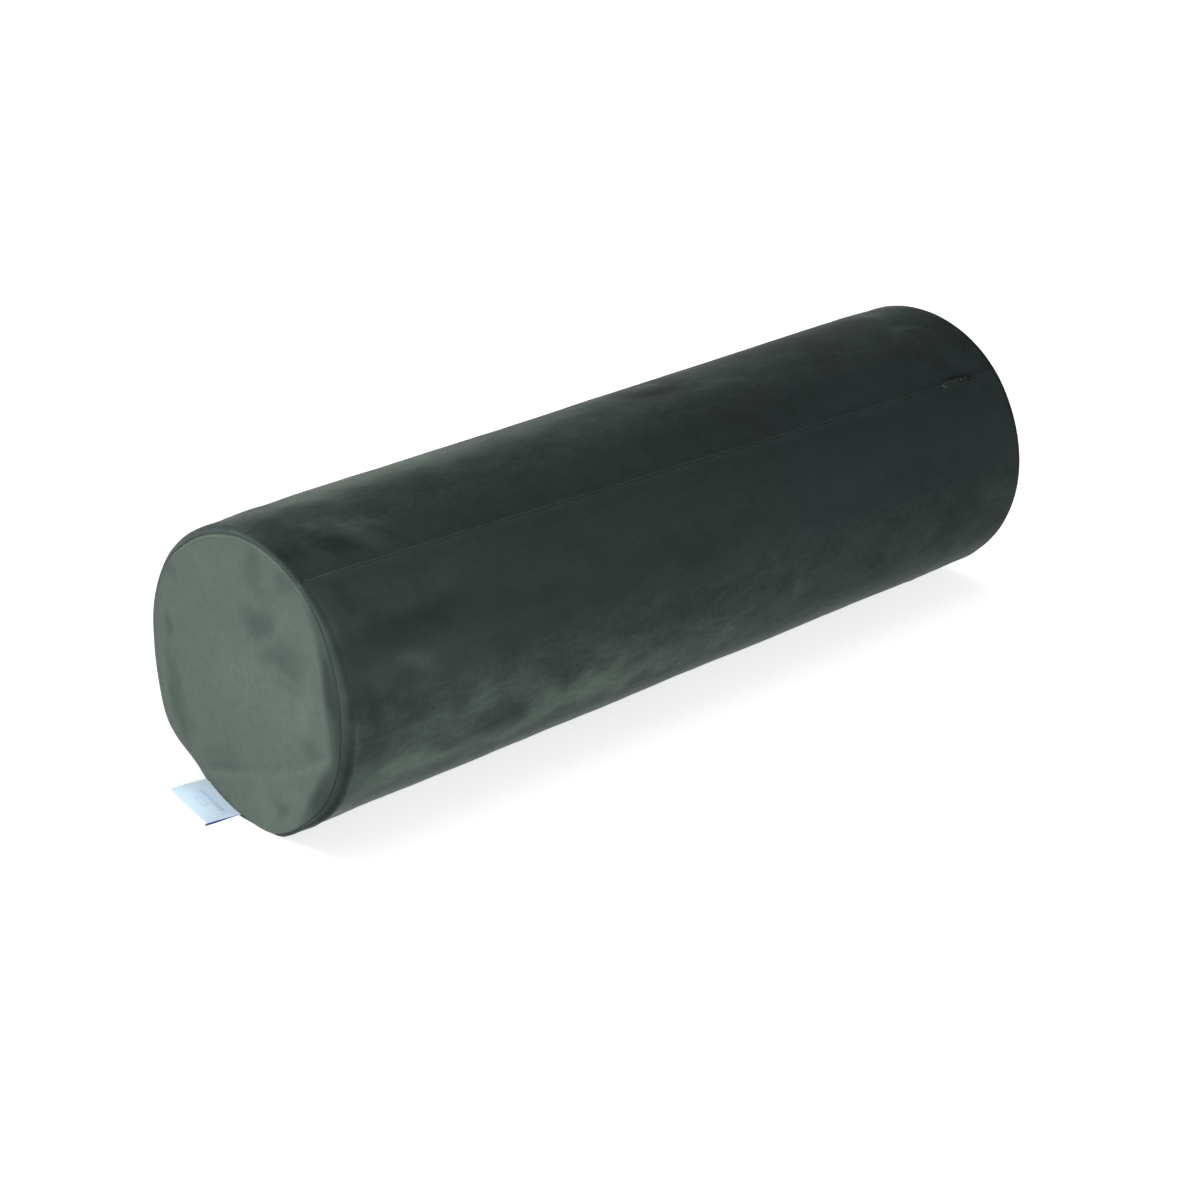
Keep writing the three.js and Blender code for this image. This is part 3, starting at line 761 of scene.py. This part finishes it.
def corner_stations(seam, angle):
    """Rows of (distance in from the end face, radius) round the corner, from inside the seam to the wall."""
    start = (seam.radius(angle) + seam.gap(angle)) * MM
    lip, bulge = seam.lip(angle) * MM, seam.bulge(angle) * MM
    depth = (SEAM_DEPTH + seam.sink(angle)) * MM
    push = seam.push(angle) * MM
    rows = [(depth + share * TUCK * MM, start + TUCK_SLANT * share * MM) for share in TUCK_SHARES[::-1]]
    for step in np.radians(np.linspace(0, 90, 8)):
        rows.append((depth * (1 - math.sin(step)) - push, start + lip * (1 - math.cos(step))))
    reach = R + bulge - start - lip
    for step in np.radians(np.linspace(0, 90, 12)[1:]):
        inward = SHOULDER * MM * (1 - math.cos(step) ** SHOULDER_POWER) - push * math.cos(step)
        rows.append((inward, start + lip + reach * math.sin(step) ** SHOULDER_POWER))
    return rows


def body_panel(simulated):
    """The velvet tube: one panel whose long edges are turned under and meet over the zip."""
    u, drop, turned_under = seam_columns()
    near_rows = corner_stations(NEAR, np.degrees(u / R) + seam_angle(-HALF))
    far_rows = corner_stations(FAR, np.degrees(u / R) + seam_angle(HALF))
    walls = round((2 * HALF - 2 * SHOULDER * MM) / SPACING)
    stations = len(near_rows) + walls - 1 + len(far_rows)
    x, radius = np.zeros((stations, u.size)), np.zeros((stations, u.size))
    for i, (inward, r) in enumerate(near_rows):
        x[i], radius[i] = -HALF + inward, r
    for i, (inward, r) in enumerate(far_rows):
        x[-1 - i], radius[-1 - i] = HALF - inward, r
    first, last = len(near_rows) - 1, stations - len(far_rows)
    for i in range(first + 1, last):
        x[i] = x[first] + (i - first) / (last - first) * (x[last] - x[first])
        near_share, far_share = hill(x[i] - x[first], 16 * MM), hill(x[last] - x[i], 16 * MM)
        radius[i] = R + (radius[first] - R) * near_share + (radius[last] - R) * far_share

    # Towards the ends the hem is pressed flatter, and past the slit the two folded edges are sewn together.
    rows = np.arange(stations)[:, None]
    past_corner = np.clip(np.minimum(rows - first, last - rows), 0, None) * SPACING
    inner = smooth(0, 8 * MM, past_corner)
    u = u - turned_under * (1 - inner)
    drop = drop * (0.45 + 0.55 * inner)
    sewn = smooth(SLIT_END - 4 * MM, SLIT_END + 2 * MM, np.abs(x))
    closing = sewn * SLIT_HALF * MM * np.where(np.minimum(u, math.tau * R - u) < 8 * MM, 1, 0)
    closing = np.where(u < math.pi * R, -closing, closing)
    angle = np.degrees((u + closing) / R) + seam_angle(x)
    on_wall = smooth(0, SHOULDER * MM, HALF - np.abs(x))
    radius = radius + on_wall * wall_height(x, angle, simulated) * MM
    along, out = np.gradient(x, axis=0), np.gradient(radius, axis=0)
    length = np.hypot(along, out)
    nap_and_painted_light, mottle = body_pile_and_light(x, angle)
    teal = smooth(20 * MM, 90 * MM, x) * smooth(12, 26, turn(angle, 0)) * smooth(95, 80, turn(angle, 0))
    x, radius = x + out / length * drop, radius - along / length * drop
    obj = grid_mesh("cover_body_velvet", on_roll(x, radius, angle))
    set_values(obj, "nap_and_painted_light", nap_and_painted_light)
    set_values(obj, "mottle", mottle)
    set_values(obj, "teal", 0.25 + 0.75 * teal)
    return obj


def body_pile_and_light(x, angle):
    """How the body panel's pile is brushed, with painted light and shade, in stops, and how blotchy it is (0 to
    1).
    """
    around = turn(angle, 0)
    along, across = laid_flat(x, angle)
    along, across = along + 5 * warp_along(x, angle), across + 3 * warp_round(x, angle)
    strokes = [(x0, arc_mm(a0), *rest) for x0, a0, *rest in BODY_STROKES_AND_LIGHT]
    nap_and_painted_light = stroke_stops(along, across, strokes)
    reach = dent_reach(x, angle) + 0.06 * warp_along(x, angle)
    # painted shade round the rim of the thumb's dent, and painted light in its hollow
    nap_and_painted_light += 0.25 * hill(reach, 0.5) - 1.1 * hill(reach - 1, 0.28)
    unseen = smooth(-30, -60, around) + smooth(130, 150, around)  # the back and the underside
    nap_and_painted_light += unseen * (0.25 + 0.3 * unseen_nap(x, angle))
    # painted light and shade at the long seam: a painted highlight on the lower fold, painted shade above it, and
    # painted light in the groove that lifts its shadow
    u = turn(angle, seam_angle(x))  # the long seam: lighter below, darker above, and lit in its groove
    nap_and_painted_light += 0.16 * hill(u - 1.2, 1.3) - 0.12 * hill(u + 2.0, 2.2) + 0.7 * hill(u, 0.35)
    # painted shade on the body panel where it meets each end seam
    for seam in (NEAR, FAR):
        to_end = (HALF - seam.side * x) / MM
        nap_and_painted_light += seam.shade(angle) * smooth(5.0, 1.5, to_end)
    calm = smooth(16, 26, around) * smooth(92, 76, around)  # the front
    mottle = 1 - 0.68 * calm - 0.15 * smooth(0.02, 0.15, x)
    return np.clip(nap_and_painted_light, -2.2, 1.5), mottle


def panel_depth(seam, simulated, rings, angle):
    """How far in from the end plane the face of an end panel lies at each radius (metres), in millimetres."""
    radius = seam.radius(angle)
    inside = radius - seam.gap(angle) - rings / MM
    slope = np.clip(1 - inside / seam.margin(angle), 0, 1)
    rim = SEAM_DEPTH * (1 - np.sqrt(1 - np.clip(1 - inside / 0.95, 0, 1) ** 2))
    y, z = -rings * np.sin(np.radians(angle)), rings * np.cos(np.radians(angle))
    depth = seam.sink(angle) * slope**1.6 + rim - 0.9 * seam.piping(angle) * hill(inside - 1.15, 0.75)
    depth -= 0.7 * (1 - (rings / R) ** 2) + simulated(rings, angle)
    depth -= seam.push(angle) * smooth(0.45, 1.0, rings / (radius * MM)) ** 1.5
    waves = 0.22 * broad(z, np.degrees(y / R)) + 0.07 * fine(z, np.degrees(y / R))
    if seam.side < 0:
        waves = waves + sum(rise * hill(line_distance(y / MM, z / MM, path), width)
                            for path, rise, width in NEAR_CREASES)
    return depth - waves * smooth(0, 8, inside)


# How far in from the end panel's edge its rings lie, in millimetres: evenly up to RIM, then ever closer.
RIM = 18
INNER_RINGS = 18
END_COLUMNS = 180
RIM_STEPS = (16.5, 15, 13.5, 12, 10.5, 9, 7.8, 6.8, 5.9, 5.0, 4.2, 3.5, 2.8, 2.2, 1.75, 1.35, 1.0, 0.72, 0.5,
             0.32, 0.16, 0.05, 0.0)


def end_panel(name, seam, simulated):
    """One velvet end, whose rim slopes down into the seam and is turned in there."""
    angle = np.linspace(-180, 180, END_COLUMNS, endpoint=False)
    edge = seam.radius(angle) - seam.gap(angle)
    rings = [share * (edge - RIM) for share in np.linspace(0.06, 1, INNER_RINGS)]
    rings += [edge - inward for inward in RIM_STEPS]
    rings = np.array(rings) * MM
    depth = panel_depth(seam, simulated, rings, angle) * MM
    shares = np.array(TUCK_SHARES)[:, None]
    depth = np.concatenate([depth, depth[-1] + shares * TUCK * MM])
    rings = np.concatenate([rings, rings[-1] - TUCK_SLANT * shares * MM])
    x = seam.side * (HALF - depth)
    points = on_roll(x, rings, angle)
    obj = grid_mesh(name, points, closed=True, pole=(x[0].mean(), 0, AXIS_Z))
    y, z = points[..., 1] / MM, (points[..., 2] - AXIS_Z) / MM
    wander = 2.0 * warp_along(y * MM, z)
    near = seam.side < 0
    nap_and_painted_light = stroke_stops(y + wander, z + wander, NEAR_STROKES if near else FAR_STROKES)
    # painted shade along the end's crease and a painted highlight along the ridge beside it
    if near:
        (crease, *_), (ridge, *_) = NEAR_CREASES[:2]
        nap_and_painted_light -= 0.17 * hill(line_distance(y, z, crease), 1.7)
        nap_and_painted_light += 0.12 * hill(line_distance(y, z, ridge), 2.5)
    # painted shade down the rim that sinks into the seam, broken by speckle, with a painted highlight where that
    # rim folds
    inside = edge - rings / MM
    slope = np.clip(1 - inside / seam.margin(angle), 0, 1)
    sunk = smooth(0.2, 1.6, seam.sink(angle))
    shade_speckle = 0.16 * fine(y * 0.3 * MM, z)
    dark = 1.25 * smooth(0, seam.fade(angle), slope + 0.15 * shade_speckle) + shade_speckle * smooth(0.1, 0.4, slope)
    nap_and_painted_light -= sunk * (dark - 0.5 * hill(slope - 0.75, 0.12) * hill(turn(angle, 62), 14))
    # painted highlight along the end panel's piped rim
    nap_and_painted_light += 0.4 * smooth(0.3, 0.7, seam.piping(angle)) * hill(inside - 0.9, 0.6) * (turn(angle, -60) > 0)
    set_values(obj, "nap_and_painted_light", np.append(nap_and_painted_light.ravel(), nap_and_painted_light[0].mean()))
    set_values(obj, "mottle", np.full(nap_and_painted_light.size + 1, 0.33))
    return obj


# ---------------------------------------------------------------- cloth simulation of the cover

SIM_ROWS = 72
SIM_COLUMNS = 84
SIM_RINGS = 12
SIM_FRAMES = 20
SIM_DISC = 0.97  # of the roll's radius, out to where the ends' rings go
SIM_HELD = 1.5 * MM  # below this height the cloth lies still
SIM_SLOWEST = 6  # folds round the roll: anything slower is the roll's own shape
SIM_CAP = 0.4  # millimetres that no fold gets past


def simulate_cover():
    """Blows up a slightly oversize cover between its sewn ends, and gives what its cloth does near the seams.

    These are two functions, in millimetres: the wall's folds over (x, angle), and the ends' folds over
    (radius, angle).
    """
    angles = np.arange(SIM_COLUMNS) * 360 / SIM_COLUMNS
    xs = np.linspace(-HALF, HALF, SIM_ROWS)
    radii = np.linspace(0.08, 1, SIM_RINGS) * R * SIM_DISC
    near = [on_roll(-HALF, r, angles) for r in radii]
    wall = [on_roll(x, R, angles) for x in xs]
    far = [on_roll(HALF, r, angles) for r in radii[::-1]]
    points = np.array(near + wall + far)
    obj = grid_mesh("sim_cover", points, closed=True, pole=(-HALF, 0, AXIS_Z))
    close_far_end(obj, points)

    seams = [SIM_RINGS, SIM_RINGS + SIM_ROWS - 1]
    held = obj.vertex_groups.new(name="held")
    held.add([row * SIM_COLUMNS + j for row in seams for j in range(SIM_COLUMNS)], 1.0, "REPLACE")
    low = [i for i, v in enumerate(obj.data.vertices) if v.co.z < SIM_HELD]
    held.add(low, 1.0, "REPLACE")
    cloth = obj.modifiers.new("cloth", "CLOTH")
    settings = cloth.settings
    settings.quality = 6
    settings.mass = 0.25
    settings.tension_stiffness = settings.compression_stiffness = 25
    settings.shear_stiffness = 8
    settings.bending_stiffness = 0.6
    settings.use_pressure = True
    settings.uniform_pressure_force = 4
    settings.shrink_min = -0.012
    settings.vertex_group_mass = "held"
    settings.effector_weights.gravity = 0
    cloth.collision_settings.use_collision = False
    scene = bpy.context.scene
    scene.frame_start, scene.frame_end = 1, SIM_FRAMES
    cloth.point_cache.frame_start, cloth.point_cache.frame_end = 1, SIM_FRAMES
    for step in range(1, SIM_FRAMES + 1):
        scene.frame_set(step)
    depsgraph = bpy.context.evaluated_depsgraph_get()
    blown = obj.evaluated_get(depsgraph).to_mesh()
    moved = np.array([v.co for v in blown.vertices])[: points.shape[0] * SIM_COLUMNS].reshape(points.shape)
    obj.evaluated_get(depsgraph).to_mesh_clear()
    scene.frame_set(1)
    bpy.data.objects.remove(obj)

    wall = moved[SIM_RINGS : SIM_RINGS + SIM_ROWS]
    out = np.hypot(wall[..., 1], wall[..., 2] - AXIS_Z)
    before = points[SIM_RINGS : SIM_RINGS + SIM_ROWS]
    folds = folds_only((out - np.hypot(before[..., 1], before[..., 2] - AXIS_Z)) / MM)
    crown = folds_only((points[:SIM_RINGS, :, 0] - moved[:SIM_RINGS, :, 0]) / MM)
    return sampler(xs, folds), sampler(radii, crown)


def folds_only(table):
    """Takes away what changes slowly round the roll, so that only the cloth's folds stay, and caps them."""
    waves = np.fft.rfft(table, axis=1)
    waves[:, :SIM_SLOWEST] = 0
    folds = np.fft.irfft(waves, table.shape[1], axis=1)
    return SIM_CAP * np.tanh(folds / SIM_CAP)


def sampler(steps, table):
    """Reads a table over steps and the angle, between its points."""
    columns = table.shape[1]

    def value(step, angle):
        step, angle = np.broadcast_arrays(np.asarray(step, float), np.asarray(angle, float))
        row = np.interp(step, steps, np.arange(len(steps)))
        column = (angle % 360) * columns / 360
        i, j = np.minimum(row.astype(int), len(steps) - 2), column.astype(int) % columns
        a, b = smooth(0, 1, row - i), smooth(0, 1, column - np.floor(column))
        k = (j + 1) % columns
        return ((table[i, j] * (1 - a) + table[i + 1, j] * a) * (1 - b)
                + (table[i, k] * (1 - a) + table[i + 1, k] * a) * b)

    return value


# ---------------------------------------------------------------- side label


def side_label():
    """A folded ribbon: both plies leave the seam together and part a little before the fold."""
    joint = JOINTS["label_flap"]
    hinge = Vector(joint["pos_m"])
    across = Vector(joint["axis"]).normalized()
    low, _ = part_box("side_label")
    width, caught, bulge, ply = 30 * MM, 3.0 * MM, 0.85 * MM, 0.16 * MM
    lift = math.radians(4)
    level = Vector((-1, 0, 0))
    away = level * math.cos(lift) - level.cross(across).normalized() * math.sin(lift)
    out = away.cross(across).normalized()
    length = (hinge.x - low.x) / math.cos(lift)

    steps, fold_steps = 26, 12
    path = []
    for i in range(steps + 1):
        s = -caught + i / steps * (length - bulge + caught)
        path.append((s, -ply - (bulge - ply) * smooth(-0.05, 0.8, max(s, 0) / length)))
    for i in range(1, fold_steps):
        turned = math.radians(-90 + 180 * i / fold_steps)
        path.append((length - bulge + bulge * math.cos(turned), bulge * math.sin(turned)))
    path += [(s, -o) for s, o in reversed(path[: steps + 1])]
    points = np.zeros((25, len(path), 3))
    for i, row in enumerate(np.linspace(-0.5, 0.5, len(points))):
        for j, (s, o) in enumerate(path):
            share = max(s, 0) / length
            wave = 0.35 * MM * math.sin(5.2 * row + 0.6) * share**2
            curl = 0.5 * MM * (2 * row) ** 4 * share
            points[i, j] = hinge + away * s + out * (o + wave - curl) + across * (row * width)
    obj = grid_mesh("side_label_ribbon", points)
    faces_out(obj)
    thicken(obj, 0.22 * MM, offset=0)
    half = len(obj.data.vertices) // 2
    off = [abs((vertex.co - hinge).dot(out)) for vertex in obj.data.vertices]
    first_inside = sum(off[:half]) < sum(off[half:])
    # marks the ribbon's inside faces, which the satin paints dark blue as shade
    set_values(obj, "inside", [float((i < half) == first_inside) for i in range(2 * half)])
    shade(obj, satin(hinge, away, across))
    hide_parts("side_label")
    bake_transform(obj)


def satin(hinge, away, across):
    """Pale satin with a row of blurred dashes and a hollow block printed on it; painted shade makes it dark blue
    inside.
    """
    material, shader, n = new_material("satin_ribbon", (0.70, 0.83, 0.92), 0.38)
    where = n.add("TexCoord").outputs["Object"]
    moved = n.add("VectorMath", {0: where, 1: tuple(hinge)}, operation="SUBTRACT").outputs[0]
    s = n.add("VectorMath", {0: moved, 1: tuple(away)}, operation="DOT_PRODUCT").outputs["Value"]
    t = n.add("VectorMath", {0: moved, 1: tuple(across)}, operation="DOT_PRODUCT").outputs["Value"]

    def band(value, centre, half, soft=0.25 * MM):
        away_from = n.math("ABSOLUTE", n.math("SUBTRACT", value, centre))
        return n.span(away_from, half - soft, half + soft, 1.0, 0.0)

    weft = n.math("SINE", n.times(s, math.tau / (0.28 * MM)))
    fibre = n.noise(n.place(), 1800, 2, 0.6)
    cloud = n.noise(n.place(), 90, 2)
    # painted shade: the ribbon darkens towards the seam
    ground = n.mix(n.span(s, 1 * MM, 12 * MM), (0.36, 0.44, 0.53), (0.48, 0.61, 0.72))
    ground = n.mix(n.span(cloud, 0.3, 0.7, 0.0, 0.35), ground, (0.38, 0.48, 0.58))
    ground = n.mix(n.times(fibre, 0.25), ground, (0.33, 0.44, 0.55))
    smudge = n.span(n.noise(n.place(), 520, 2, 0.6), 0.3, 0.6, 0.35, 1.0)
    dashes = n.span(n.math("SINE", n.times(t, math.tau / (2.3 * MM))), -1.0, 0.0, 0.35, 1.0)
    row = n.times(band(s, 7.4 * MM, 1.4 * MM, 0.9 * MM), band(t, -1 * MM, 9.8 * MM, 0.8 * MM))
    row = n.times(n.times(row, dashes), n.span(t, -9 * MM, 9 * MM, 0.9, 0.6))
    block = n.times(band(s, 12.8 * MM, 2.1 * MM, 1.0 * MM), band(t, 0.5 * MM, 4.2 * MM, 1.2 * MM))
    hollow = n.times(band(s, 12.8 * MM, 0.9 * MM, 0.6 * MM), band(t, 0.5 * MM, 2.6 * MM, 0.8 * MM))
    block = n.times(n.math("SUBTRACT", block, hollow), 0.42)
    print_ = n.times(n.plus(row, block, clamp=True), smudge)
    colour = n.mix(print_, ground, (0.16, 0.30, 0.50))
    # painted shade: the inside faces of the fold are dark blue
    colour = n.mix(n.attribute("inside"), colour, (0.025, 0.055, 0.15))
    n.paint(colour, n.bump(n.plus(weft, fibre), 0.03 * MM, 0.5))
    shader.inputs["Sheen Weight"].default_value = 0.3
    shader.inputs["Specular IOR Level"].default_value = 0.55
    return material


# ---------------------------------------------------------------- inner pieces

# The filling, in millimetres.
SLACK = 0.7  # how much smaller it is all round, to stay clear of the cover's dips
TAPER = 18  # how long it narrows behind each end seam
ENDS_LENGTH = 60  # how much of its length the two ends take up together
SHELF_EDGE = (19, 15.5)  # from the zip's middle to where the dent under its tapes begins and is full
TROUGH_EDGE = (8.5, 6.0)  # the same, under its coils
DISC_SHARES = (0.08, 0.25, 0.45, 0.62, 0.75, 0.84, 0.9, 0.94, 0.97, 0.99)


def soft_roll(cover, mouth, shelf, trough, columns=96, spacing=8):
    """Rows of points over something soft that fills the cover, and the numbers of its rows at the two rims.

    In millimetres, cover is how far it stays in from the cover's face, mouth how far inside the end seams,
    shelf and trough how deep it is dented under the zip's tapes and coils, and spacing how far its rows are
    apart.
    """
    angle = np.linspace(-180, 180, columns, endpoint=False)
    wall = R / MM - cover - SLACK
    ends = []
    for seam in (NEAR, FAR):
        rim = seam.radius(angle) - mouth
        rows = []
        for share in DISC_SHARES:
            ring = share * rim * MM
            rows.append((panel_depth(seam, still, ring, angle) + cover, ring / MM))
        bottom = SEAM_DEPTH + seam.sink(angle)
        for share in (0.15, 0.5, 1.0):
            rows.append((bottom + cover + share * (TUCK - cover + 1), rim))
        start = bottom + TUCK + 1
        for share in (0.12, 0.3, 0.5, 0.7, 0.88, 1.0):
            rows.append((start + TAPER * share, rim + (wall - rim) * smooth(0, 1, share)))
        ends.append(rows)
    near = [(-HALF / MM + inward, radius) for inward, radius in ends[0]]
    far = [(HALF / MM - inward, radius) for inward, radius in ends[1][::-1]]
    count = round((2 * HALF / MM - ENDS_LENGTH) / spacing)
    walls = [(near[-1][0] + i / count * (far[0][0] - near[-1][0]), wall) for i in range(1, count)]
    x = np.array([row[0] + 0 * angle for row in near + walls + far]) * MM
    radius = np.array([row[1] + 0 * angle for row in near + walls + far])
    u = np.abs(np.radians(turn(angle, seam_angle(x)))) * R / MM
    dent = shelf * smooth(*SHELF_EDGE, u) + (trough - shelf) * smooth(*TROUGH_EDGE, u)
    radius = np.where(dent > 0, np.minimum(radius, R / MM - dent), radius)
    return on_roll(x, radius * MM, angle), len(DISC_SHARES), len(x) - len(DISC_SHARES)


def still(*_):
    """Cloth that no simulation has moved."""
    return 0.0


def filling():
    """The foam core and the knitted liner round it: a sleeve and two ends."""
    points, _, _ = soft_roll(cover=2.4, mouth=2.9, shelf=5.8, trough=9.6)
    core = grid_mesh("foam_roll", points, closed=True, pole=points[0].mean(axis=0))
    close_far_end(core, points)
    stand_for(core, "foam_core", foam_material())

    points, near, far = soft_roll(cover=1.5, mouth=2.0, shelf=4.8, trough=8.6)
    sleeve = grid_mesh("liner_sleeve", points[near - 1 : far + 1], closed=True)
    near_end = grid_mesh("liner_cap_near", points[:near], closed=True, pole=points[0].mean(axis=0))
    far_end = grid_mesh("liner_cap_far", points[far:][::-1], closed=True, pole=points[-1].mean(axis=0))
    stockinette = knit("stockinette", (0.86, 0.85, 0.81))
    low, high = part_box("liner_body")
    girth, length = math.pi * (high.y - low.y), high.x - low.x
    cap = high.y - low.y + 2 * CAP_TUCK
    stretched(sleeve, "liner_body", "liner", stockinette, LINER, girth, length)
    stretched(near_end, "liner_end_near", "liner", stockinette, LINER, cap)
    stretched(far_end, "liner_end_far", "liner", stockinette, LINER, cap)


def close_far_end(obj, points):
    """Closes the far end of a mesh made from rows of points with a fan of triangles."""
    work = bmesh.new()
    work.from_mesh(obj.data)
    work.verts.ensure_lookup_table()
    rows, columns = points.shape[:2]
    last = work.verts[(rows - 1) * columns : rows * columns]
    centre = work.verts.new(points[-1].mean(axis=0))
    for j in range(columns):
        work.faces.new((last[j], last[(j + 1) % columns], centre))
    bmesh.ops.recalc_face_normals(work, faces=work.faces)
    work.to_mesh(obj.data)
    work.free()


def end_seam_thread(seam, node, material):
    """Lockstitches round an end seam, just inside its groove."""
    stitches, steps, sides = 150, 6, 6
    thick, swing, depth = 0.26 * MM, 1.3 * MM, 1.6 * MM
    angle = np.arange(stitches * steps) * 360 / (stitches * steps)
    phase = np.arange(stitches * steps) * math.tau / steps
    radius = seam.radius(angle) * MM + swing * np.sin(phase)
    x = seam.side * (HALF - (SEAM_DEPTH + seam.sink(angle)) * MM - depth)
    path = on_roll(x, radius, angle)
    path[:, 2] = np.maximum(path[:, 2], 0.3 * MM)
    along = np.roll(path, -1, axis=0) - np.roll(path, 1, axis=0)
    along /= np.linalg.norm(along, axis=1, keepdims=True)
    aside = np.cross(along, (1, 0, 0))
    aside /= np.linalg.norm(aside, axis=1, keepdims=True)
    across = np.cross(along, aside)
    turns = np.arange(sides) * math.tau / sides
    points = (path[:, None] + thick * np.cos(turns)[None, :, None] * aside[:, None]
              + thick * np.sin(turns)[None, :, None] * across[:, None])
    obj = grid_mesh(node.replace("thread", "stitches"), np.concatenate([points, points[:1]]), closed=True)
    faces_out(obj, weld=0.001 * MM)
    stand_for(obj, node, material)


# ---------------------------------------------------------------- assembly


def dress_frame(stitch):
    """Gives each carried-over CAD node its material, and the two moving ones softer edges."""
    ribbon = woven("zip_tape_weave", (0.024, 0.036, 0.031), 0.55 * MM, (1, 0, 0), (0, 0.76, 0.65))
    finishes = {"zip_tape": ribbon, "thread": stitch, "zip_nylon": nylon_coil(), "zip_metal": enamel()}
    for entry in frame["record"]["subparts"]:
        if entry["material_slot"] in finishes:
            obj = frame["nodes"][entry["node"]]
            obj.data.materials.clear()
            obj.data.materials.append(finishes[entry["material_slot"]])
    for node in ("zip_slider", "zip_pull"):
        obj = frame["nodes"][node]
        bevel = obj.modifiers.new("eased edges", "BEVEL")
        bevel.width = 0.14 * MM
        bevel.segments = 2
        bevel.limit_method = "ANGLE"


def velvet_cover(stitch):
    """The body panel, the two ends and the stitches that join them."""
    wall, crown = simulate_cover()
    body = body_panel(wall)
    near = end_panel("cover_end_near_velvet", NEAR, crown)
    far = end_panel("cover_end_far_velvet", FAR, crown)
    end_velvet = velvet("velvet_end", (0.0226, 0.0302, 0.0270), (0.0250, 0.0318, 0.0250), 3.1)
    body_velvet = velvet("velvet_body", (0.0218, 0.0303, 0.0279), (0.0249, 0.0326, 0.0267), 0.0)
    disc = 2 * R + 2 * TUCK * MM
    stretched(body, "cover_body_panel", "velvet", body_velvet, VELVET, math.tau * R + 2 * HEM * MM,
              2 * HALF + 2 * TUCK * MM)
    stretched(near, "cover_end_near", "velvet", end_velvet, VELVET, disc)
    stretched(far, "cover_end_far", "velvet", end_velvet, VELVET, disc)
    end_seam_thread(NEAR, "end_seam_thread_near", stitch)
    end_seam_thread(FAR, "end_seam_thread_far", stitch)


make_camera()
make_stage()
thread = twisted_thread()
filling()
velvet_cover(thread)
side_label()
dress_frame(thread)
